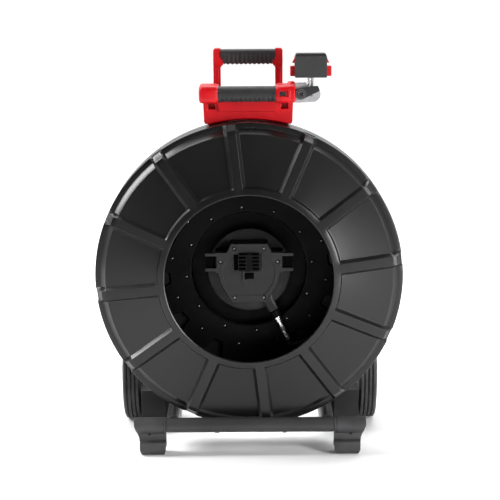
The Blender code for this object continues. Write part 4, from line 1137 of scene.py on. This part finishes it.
def bracket_skirt():
    """Front view of the bracket's lower part, whose underside follows the drum."""
    clear = DRUM_R + 0.0042
    half = 0.0770
    start = math.degrees(math.acos(half / clear))
    under = arc(0, AXLE_Z, clear, start, 180 - start, 40)
    foot = under[0][1]
    return [*under, (-half - 0.0035, foot), (-SKIRT_HALF + 0.0018, foot + 0.0045), (-SKIRT_HALF, SKIRT_TOP_Z),
            (SKIRT_HALF, SKIRT_TOP_Z), (SKIRT_HALF - 0.0018, foot + 0.0045), (half + 0.0035, foot)]


def rounded_section(y, z, radius, steps=6):
    """Side view of a bar from its two ranges, with its front and back corners rounded."""
    (front_r, back_r), (y0, y1), (z0, z1) = radius, y, z
    corners = [(y1 - back_r, z1 - back_r, back_r), (y0 + front_r, z1 - front_r, front_r),
               (y0 + front_r, z0 + front_r, front_r), (y1 - back_r, z0 + back_r, back_r)]
    return [spot for k, corner in enumerate(corners) for spot in arc(*corner, 90 * k, 90 * k + 90, steps)]


def bracket_arm(x_out, x_in):
    """One of the two arms, rounded like a bar and closed by a softened end."""
    side = 1 if x_out > x_in else -1
    rings = []
    for inset, x in ((0.0050, x_out), (0.0018, x_out - side * 0.0012), (0.0, x_out - side * 0.0052),
                     (0.0, x_in + side * 0.0060), (0.0022, x_in)):
        y, z = (ARM_Y[0] + inset, ARM_Y[1]), (ARM_Z[0] + inset, ARM_Z[1] - inset)
        rings.append([at(x, a, b) for a, b in rounded_section(y, z, (0.0105, 0.002))])
    return skin(rings)


skirt = piece("top_bracket_skirt", prism(bracket_skirt(), *SKIRT_Y), RED_NYLON, bevel=0.0014, segments=3)
cuts = [block((-0.0530, 0.0490), (SKIRT_Y[0] - 0.01, 0.0520), (ARM_Z[0] + 0.0010, 0.70))]
for side in (-1, 1):
    x = side * UPRIGHT_X
    half_x, half_y = LEG[0] / 2 + 0.0004, LEG[1] / 2 + 0.0004
    cuts.append(block((x - half_x, x + half_x), (UPRIGHT_Y - half_y, UPRIGHT_Y + half_y), (0.60, 0.70)))
    pocket = [(side * x, z) for x, z in ((0.0745, 0.6625), (0.0640, 0.6625), (0.0610, 0.6480),
                                         (0.0745, 0.6480))]
    cuts.append(prism(pocket, SKIRT_Y[0] - 0.001, SKIRT_Y[0] + 0.0140))
fit(carve(skirt, cuts), "frame", "red_plastic", "top_bracket")
spread_half = math.degrees(math.acos(0.0765 / 0.2960))
front, back = SKIRT_Y[0], SKIRT_Y[1] - 0.0040
lip = [(DRUM_R + r, y) for r, y in ((0.0012, front + 0.0060), (0.0046, front + 0.0004),
                                    (0.0080, front + 0.0004), (0.0080, back), (0.0012, back))]
turns = [math.radians(spread_half + (180 - 2 * spread_half) * k / 32) for k in range(33)]
saddle = skin([[at(r * math.cos(t), y, AXLE_Z + r * math.sin(t)) for r, y in lip] for t in turns])
fit(piece("top_bracket_saddle", saddle, RED_NYLON, bevel=0.0006), "frame", "red_plastic")
panel = skin([[at(x, y, z) for x, z in ((-w1, 0.6660), (w1, 0.6660), (w0, 0.6440), (-w0, 0.6440))]
              for y, w1, w0 in ((front + 0.001, 0.0620, 0.0560), (front - 0.0060, 0.0590, 0.0530))])
sockets = [block((side * UPRIGHT_X - 0.018, side * UPRIGHT_X + 0.018), (UPRIGHT_Y - 0.018, UPRIGHT_Y + 0.018),
                 (UPRIGHT_TOP_Z + GAP, 0.640)) for side in (-1, 1)]
ribs = copies("bracket_rib", block((-0.0010, 0.0010), (0.1000, 0.1412), (0.6300, 0.6680)), RED_NYLON, 5,
              (-0.0300, 0, 0), shift=(0.0150, 0, 0))
body = piece("top_bracket_panel_and_sockets", merged(panel, ribs, *sockets), RED_NYLON, bevel=0.0009)
fit(body, "frame", "red_plastic")
button_hole = block((BUTTON_X[0] - 0.0004, BUTTON_X[1] + 0.0004), (ARM_Y[0] - 0.01, -0.0040),
                    (BUTTON_Z[0] - 0.0004, BUTTON_Z[1] + 0.0004))
button_well = block((BUTTON_X[0] - 0.0012, BUTTON_X[1] + 0.0040), (ARM_Y[0] - 0.002, ARM_Y[0] + 0.0022),
                    (BUTTON_Z[0] - 0.0016, BUTTON_Z[1] + 0.0020))
right_arm = piece("top_bracket_right_arm", bracket_arm(TOP_X[1], GRIP_X[1] + GAP), RED_NYLON)
fit(carve(right_arm, [button_well, button_hole]), "frame", "red_plastic")
fit(piece("top_bracket_left_arm", bracket_arm(TOP_X[0], GRIP_X[0] - GAP), RED_NYLON), "frame", "red_plastic")
boss_rows = [(0, 0), (BOSS_R - 0.0030, 0), (BOSS_R - 0.0008, 0.0012), (BOSS_R, 0.0032), (BOSS_R, 0.0106),
             (BOSS_R - 0.0012, 0.0132), (BOSS_R - 0.0026, 0.0138), (0.0080, 0.0138), (0.0076, 0.0130),
             (0, 0.0130)]
boss = turned(boss_rows, (1, 0, 0), at(BOSS_X, *ARM_C), 72)
cheek = rounded_section((ARM_Y[0] + 0.0006, 0.044), (ARM_Z[0] + 0.0006, 0.6955), (0.0090, 0.004))
middle_y, middle_z = 0.0120, 0.680
cheek = skin([[at(x, middle_y + (y - middle_y) * s, middle_z + (z - middle_z) * s) for y, z in cheek]
              for x, s in ((0.0745, 0.97), (0.0765, 1.0), (0.0845, 1.0), (0.0865, 0.95))])
fit(piece("top_bracket_boss", merged(boss, cheek), RED_NYLON), "frame", "red_plastic")

# Front grip. Black rubber moulded on a tube between the bracket's arms, smooth in front,
# with finger ridges under it and a flared, chamfered end at each side.
GRIP_RUBBER = finish("grip_rubber", (0.021, 0.021, 0.022), 0.56, mottle=0.16, patch=34.0, grain=1900.0,
                     depth=0.00012, spread=0.09, worn=(0.075, 0.075, 0.075), wear=0.6)


def grip_section(x, ridge, swell):
    """A round section whose underside is drawn in by ridge, from 0 to 1, and which may swell."""
    ring = []
    for k in range(40):
        turn = 2 * math.pi * k / 40
        under = min(max((-math.sin(turn) - 0.30) / 0.35, 0.0), 1.0)
        r = GRIP_R + swell - 0.0017 * under * ridge
        ring.append(at(x, GRIP_Y + r * math.cos(turn), GRIP_Z + r * math.sin(turn)))
    return ring


def ridged_grip(name, x, ridges, margin, section, ends):
    """A grip along x: equal ridges by the copying tree, with a plain length and an end each side."""
    pitch = (x[1] - x[0] - 2 * margin) / ridges
    steps = ((0.0, 1.0), (0.16, 0.75), (0.28, 0.12), (0.5, 0.0), (0.72, 0.12), (0.84, 0.75), (1.0, 1.0))
    unit = skin([section(pitch * t, ridge, 0.0) for t, ridge in steps], closed_ends=False)
    shapes = [copies(name, unit, GRIP_RUBBER, ridges, (x[0] + margin, 0, 0), shift=(pitch, 0, 0),
                     weld=SEAM)]
    for side, edge in ((-1, x[0]), (1, x[1])):
        shapes.append(skin([section(edge - side * t, ridge, change) for t, ridge, change in ends]))
    whole = merged(*shapes)
    bmesh.ops.recalc_face_normals(whole, faces=whole.faces)
    return whole


grip = ridged_grip("front_grip_ridge", GRIP_X, 11, 0.0060, grip_section,
                   ((0.0, 0.0, 0.0004), (0.0012, 0.0, 0.0006), (0.0050, 0.0, -0.0002),
                    (0.0060, 1.0, -0.0004)))
fit(piece("front_grip_ridged", grip, GRIP_RUBBER, sharp=44), "frame", "grip_rubber", "front_grip")

# Release button. A square nylon push button in a dished recess in the bracket's right
# arm, with a small coil spring behind it.
button_x, button_z = sum(BUTTON_X) / 2, sum(BUTTON_Z) / 2
(x0, x1), (z0, z1) = BUTTON_X, BUTTON_Z
button = skin([[at(x, y, z) for x, z in ((x0 + e, z0 + e), (x1 - e, z0 + e), (x1 - e, z1 - e),
                                         (x0 + e, z1 - e))]
               for y, e in ((ARM_Y[0] + 0.0015, 0.0009), (ARM_Y[0] + 0.0022, 0.0), (-0.0085, 0.0))])
dimple = rod(0.0022, at(button_x, ARM_Y[0] + 0.0010, button_z), at(button_x, ARM_Y[0] + 0.0020, button_z), 24,
             0.0002)
button = carve(piece("release_button_cap", button, BLACK_MOULDING, bevel=0.0004), [dimple])
fit(button, "button", "black_plastic", "release_button")
spring = wire_turns("button_spring_wire", STEEL, at(button_x, -0.0079, button_z), BACK, 0.0032, 4,
                    (0.0024, 0.0024), 0.0004, 20, 8)
spring = fit(piece("button_spring", spring, STEEL), "frame", "steel")
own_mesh(spring)

# Sliding handle. A red nylon frame whose two legs slide in the uprights, gusseted at its
# top corners, round a black rubber grip with finger ridges underneath.
HANDLE_TOP_Z = 0.7565
HANDLE_DOWN_Z = 0.4300
outer = UPRIGHT_X + LEG[0] / 2
inside = UPRIGHT_X - LEG[0] / 2
top = HANDLE_TOP_Z
core = (top - 0.0220, top - 0.0080)
outline = [(-outer, HANDLE_DOWN_Z), (-inside, HANDLE_DOWN_Z), (-inside, core[0]), (inside, core[0]),
           (inside, HANDLE_DOWN_Z), (outer, HANDLE_DOWN_Z), (outer, top - 0.0030), (outer - 0.0030, top),
           (inside, top), (inside, core[1]), (-inside, core[1]), (-inside, top), (-outer + 0.0030, top),
           (-outer, top - 0.0030)]
yoke = prism(outline, UPRIGHT_Y - LEG[1] / 2, UPRIGHT_Y + LEG[1] / 2)
corners = []
for side in (-1, 1):
    cap = [(outer, 0.0320), (outer, 0.0030), (outer - 0.0030, 0.0), (inside, 0.0), (inside, 0.0140),
           (inside - 0.0056, 0.0195), (inside - 0.0056, 0.0300), (inside - 0.0030, 0.0320)]
    fillet = [(inside, 0.0315), (inside - 0.0040, 0.0315), (inside, 0.0365)]
    for shape, deep in ((cap, 0.0130), (fillet, 0.0046)):
        shape = [(side * x, top - drop) for x, drop in shape]
        corners.append(prism(shape, UPRIGHT_Y - deep, UPRIGHT_Y + deep))
    groove = side * UPRIGHT_X
    corners.append(block((groove - 0.0035, groove + 0.0035), (UPRIGHT_Y - LEG[1] / 2 - 0.0006, UPRIGHT_Y),
                         (HANDLE_DOWN_Z + 0.012, top - 0.040)))
fit(piece("sliding_handle_yoke", merged(yoke, *corners), RED_NYLON, bevel=0.0012, segments=3), "handle",
    "red_plastic", "handle_frame")


def handle_section(x, ridge, low_cut):
    """Side view of the handle grip: a rounded bar that is deeper than it is tall."""
    ring = []
    for cx, cz, first in ((0.0085, 0.0025, 0), (-0.0085, 0.0025, 90), (-0.0085, -0.0110, 180),
                          (0.0085, -0.0110, 270)):
        for a, b in arc(cx, cz, 0.0075, first, first + 90, 6):
            under = min(max((-b - 0.0090) / 0.0050, 0.0), 1.0)
            side_in = min(max((-b - 0.0060) / 0.0040, 0.0), 1.0)
            a *= 1 - 0.075 * side_in * ridge
            b += 0.0017 * under * ridge + low_cut * min(max((-b - 0.004) / 0.010, 0.0), 1.0)
            ring.append(at(x, UPRIGHT_Y + a, top - 0.0120 + b))
    return ring


length = inside - GAP
narrow = length - 0.0056
rubber = ridged_grip("handle_ridge", (-narrow, narrow), 10, 0.0040, handle_section,
                     ((0.0040, 1.0, 0.0), (0.0010, 0.0, 0.0), (0.0, 0.0, 0.002), (-0.0030, 0.0, 0.0085),
                      (narrow - length, 0.0, 0.0095)))
fit(piece("sliding_handle_grip", rubber, GRIP_RUBBER, sharp=44), "handle", "grip_rubber", "handle_grip")

# Monitor arm. A grey die-cast knuckle tilts on the bracket's boss; a black cam lever with
# a socket-head bolt clamps it, and a slotted steel post swings between its two cheeks.
KNUCKLE_X = 0.0876
KNUCKLE_Z = (0.6602, 0.6962)
KNUCKLE_Y = (0.0155, 0.0445)
KNUCKLE_END_R = 0.0152
CAM_X = 0.0974
CAM_Z = 0.6772
POST_X = 0.1170
PIVOT_Z = 0.6762
POST_R = 0.0062
CAST_METAL = finish("cast_metal", (0.46, 0.46, 0.47), 0.42, metal=0.85, mottle=0.16, patch=60.0, grain=800.0,
                    depth=0.00014, spread=0.10, worn=(0.75, 0.75, 0.76), wear=0.6)
LEVER_BLACK = finish("lever_black", (0.024, 0.024, 0.026), 0.34, mottle=0.14, patch=50.0, grain=1200.0,
                     depth=0.00005, worn=(0.16, 0.16, 0.17), wear=0.8)
end = arc(POST_X + 0.0026, PIVOT_Z, KNUCKLE_END_R, -72, 50, 24)
outline = [(KNUCKLE_X, KNUCKLE_Z[1]), (KNUCKLE_X, KNUCKLE_Z[0]), *end, (0.1120, 0.6905), (0.1085, 0.6962)]
knuckle = piece("arm_knuckle_casting", prism(outline, *KNUCKLE_Y), CAST_METAL, bevel=0.0016, segments=3)
slot = block((POST_X - 0.0115, 0.140), (ARM_C[0] - POST_R - 0.0006, ARM_C[0] + POST_R + 0.0006),
             (PIVOT_Z - 0.0105, 0.720))
hole = rod(0.0036, at(CAM_X, 0.000, CAM_Z), at(CAM_X, 0.050, CAM_Z), 24, 0.0002)
pin_hole = rod(0.0033, at(POST_X, 0.0, PIVOT_Z), at(POST_X, 0.06, PIVOT_Z), 24, 0.0002)
fit(carve(knuckle, [slot, hole, pin_hole]), "arm", "cast_metal", "arm_knuckle")
bolt = turned([(0, 0.0032), (0.0014, 0.0032), (0.0016, 0.0), (0.0030, 0.0), (0.0033, 0.0004),
               (0.0033, 0.0400), (0, 0.0400)], (0, 1, 0), at(CAM_X, 0.0042, CAM_Z), 6)
nut = rod(0.0060, at(CAM_X, 0.0447, CAM_Z), at(CAM_X, 0.0480, CAM_Z), 6, 0.0006)
fit(piece("cam_bolt_and_nut", merged(bolt, nut), LEVER_BLACK), "arm", "steel", "cam_bolt")
pin = rod(0.0030, at(POST_X, 0.0160, PIVOT_Z), at(POST_X, 0.0440, PIVOT_Z), 32, 0.0006)
fit(piece("post_pin_rod", pin, STEEL), "arm", "steel", "post_pin")

round_end = arc(CAM_X, CAM_Z, 0.0106, 82, 305, 40)
tip = [(CAM_X + 0.0345, CAM_Z + 0.0052), (CAM_X + 0.0352, CAM_Z + 0.0075), (CAM_X + 0.0322, CAM_Z + 0.0142),
       (CAM_X + 0.0300, CAM_Z + 0.0148), (CAM_X + 0.0120, CAM_Z + 0.0128)]
lever = piece("cam_lever_blade", prism([*tip, *round_end], 0.0052, 0.0150), LEVER_BLACK, bevel=0.0010,
              segments=3)
carve(lever, [rod(0.0042, at(CAM_X, 0.0, CAM_Z), at(CAM_X, 0.02, CAM_Z), 32, 0.0002)])
fit(lever, "lever", "black_plastic", "cam_lever")
dial = turned([(0.0040, 0.0012), (0.0044, 0.0002), (0.0058, 0.0), (0.0062, 0.0010), (0.0066, 0.0018),
               (0.0078, 0.0018), (0.0080, 0.0008), (0.0092, 0.0008), (0.0096, 0.0020), (0.0096, 0.0050),
               (0.0040, 0.0050)], (0, 1, 0), at(CAM_X, 0.0040, CAM_Z), 64)
DIAL_GREY = finish("lever_dial", (0.085, 0.085, 0.088), 0.36, mottle=0.12, patch=60.0, grain=1200.0,
                   depth=0.00004, worn=(0.2, 0.2, 0.2), wear=0.6)
fit(piece("cam_lever_rings", dial, DIAL_GREY), "lever", "black_plastic")

eye = turned(mirrored([(0.0033, 0), (0.0092, 0), (0.0098, 0.0006)], 2 * POST_R), (0, 1, 0),
             at(POST_X, ARM_C[0] - POST_R, PIVOT_Z), 40)
half_bar = ((0.0006, -0.0046), (0.0040, -0.0052), (0.0060, -0.0030), (0.0062, 0.0), (0.0060, 0.0030),
            (0.0040, 0.0052), (0.0006, 0.0046))
halves = [prism([(POST_X + side * x, ARM_C[0] + y) for x, y in half_bar], PIVOT_Z + 0.0060, 0.7300, "Z")
          for side in (-1, 1)]
web = block((POST_X - 0.0010, POST_X + 0.0010), (ARM_C[0] - 0.0034, ARM_C[0] + 0.0034),
            (PIVOT_Z + 0.006, 0.7298))
fit(piece("arm_post_slotted", merged(eye, web, *halves), STEEL, bevel=0.0003), "post", "steel", "arm_post")

# Monitor holder. A dark grey block that turns on the post, with a sloped black top, and a
# red spring latch each side that is squeezed to let the monitor go.
HOLDER_X = (0.0870, 0.1465)
HOLDER_Y = (0.0150, 0.0480)
HOLDER_LOW_Z = 0.7065
HOLDER_GREY = finish("holder_grey", (0.030, 0.030, 0.031), 0.50, mottle=0.12, patch=26.0, grain=1700.0,
                     depth=0.00008, worn=(0.15, 0.15, 0.15), wear=0.5)


def stepped_box(levels):
    """A box drawn in by its own amounts, at the sides and at front and back, at each height."""
    rings = []
    for z, aside, back in levels:
        (x0, x1), (y0, y1) = HOLDER_X, HOLDER_Y
        x0, x1, y0, y1 = x0 + aside, x1 - aside, y0 + back, y1 - back
        rings.append([at(x0, y0, z), at(x1, y0, z), at(x1, y1, z), at(x0, y1, z)])
    return skin(rings)


lid = stepped_box(((0.7454, 0.0004, 0.0006), (0.7498, 0.0022, 0.0016), (0.7513, 0.0034, 0.0026)))
fit(piece("monitor_holder_lid", lid, LEVER_BLACK, bevel=0.0005), "holder", "black_plastic")
holder = stepped_box(((HOLDER_LOW_Z, 0.0012, 0.0), (HOLDER_LOW_Z + 0.0022, 0.0, 0.0), (0.7452, 0.0, 0.0)))
holder = piece("monitor_holder_block", holder, HOLDER_GREY, bevel=0.0008, segments=3)
middle = sum(HOLDER_X) / 2
half = (HOLDER_X[1] - HOLDER_X[0]) / 2
latch_y = (0.0220, 0.0420)
cuts = [rod(POST_R + GAP, at(POST_X, ARM_C[0], 0.70), at(POST_X, ARM_C[0], 0.7305), 32, 0.0002)]
for side in (-1, 1):
    x = middle + side * half
    cuts.append(block((x + side * 0.01, x - side * 0.0095), (latch_y[0] - 0.0005, latch_y[1] + 0.0005),
                      (0.7085, 0.7460)))
fit(carve(holder, cuts), "holder", "black_plastic", "monitor_holder")
for side, name in ((-1, "left"), (1, "right")):
    x = middle + side * half
    deep = x - side * 0.0055
    outline = [(deep, 0.7090)]
    outline += [(x + side * out, z) for out, z in ((0.0083, 0.7090), (0.0083, 0.7275), (-0.0010, 0.7275),
                                                   (-0.0010, 0.7335), (0.0048, 0.7335), (-0.0010, 0.7455))]
    outline.append((deep, 0.7455))
    latch = piece(f"latch_{name}_clip", prism(outline, *latch_y), RED_NYLON, bevel=0.0006)
    tooth = block((-0.0004, 0.0004), (latch_y[0] + 0.002, latch_y[1] - 0.002), (-0.0005, 0.0005))
    teeth = copies(f"latch_{name}_tooth", tooth, RED_NYLON, 6, (x + side * 0.0083, 0, 0.7115),
                   shift=(0, 0, 0.0026))
    fit(latch, f"{name}_latch", "red_plastic", f"latch_{name}")
    fit(piece(f"latch_{name}_grip_lines", teeth, RED_NYLON), f"{name}_latch", "red_plastic")
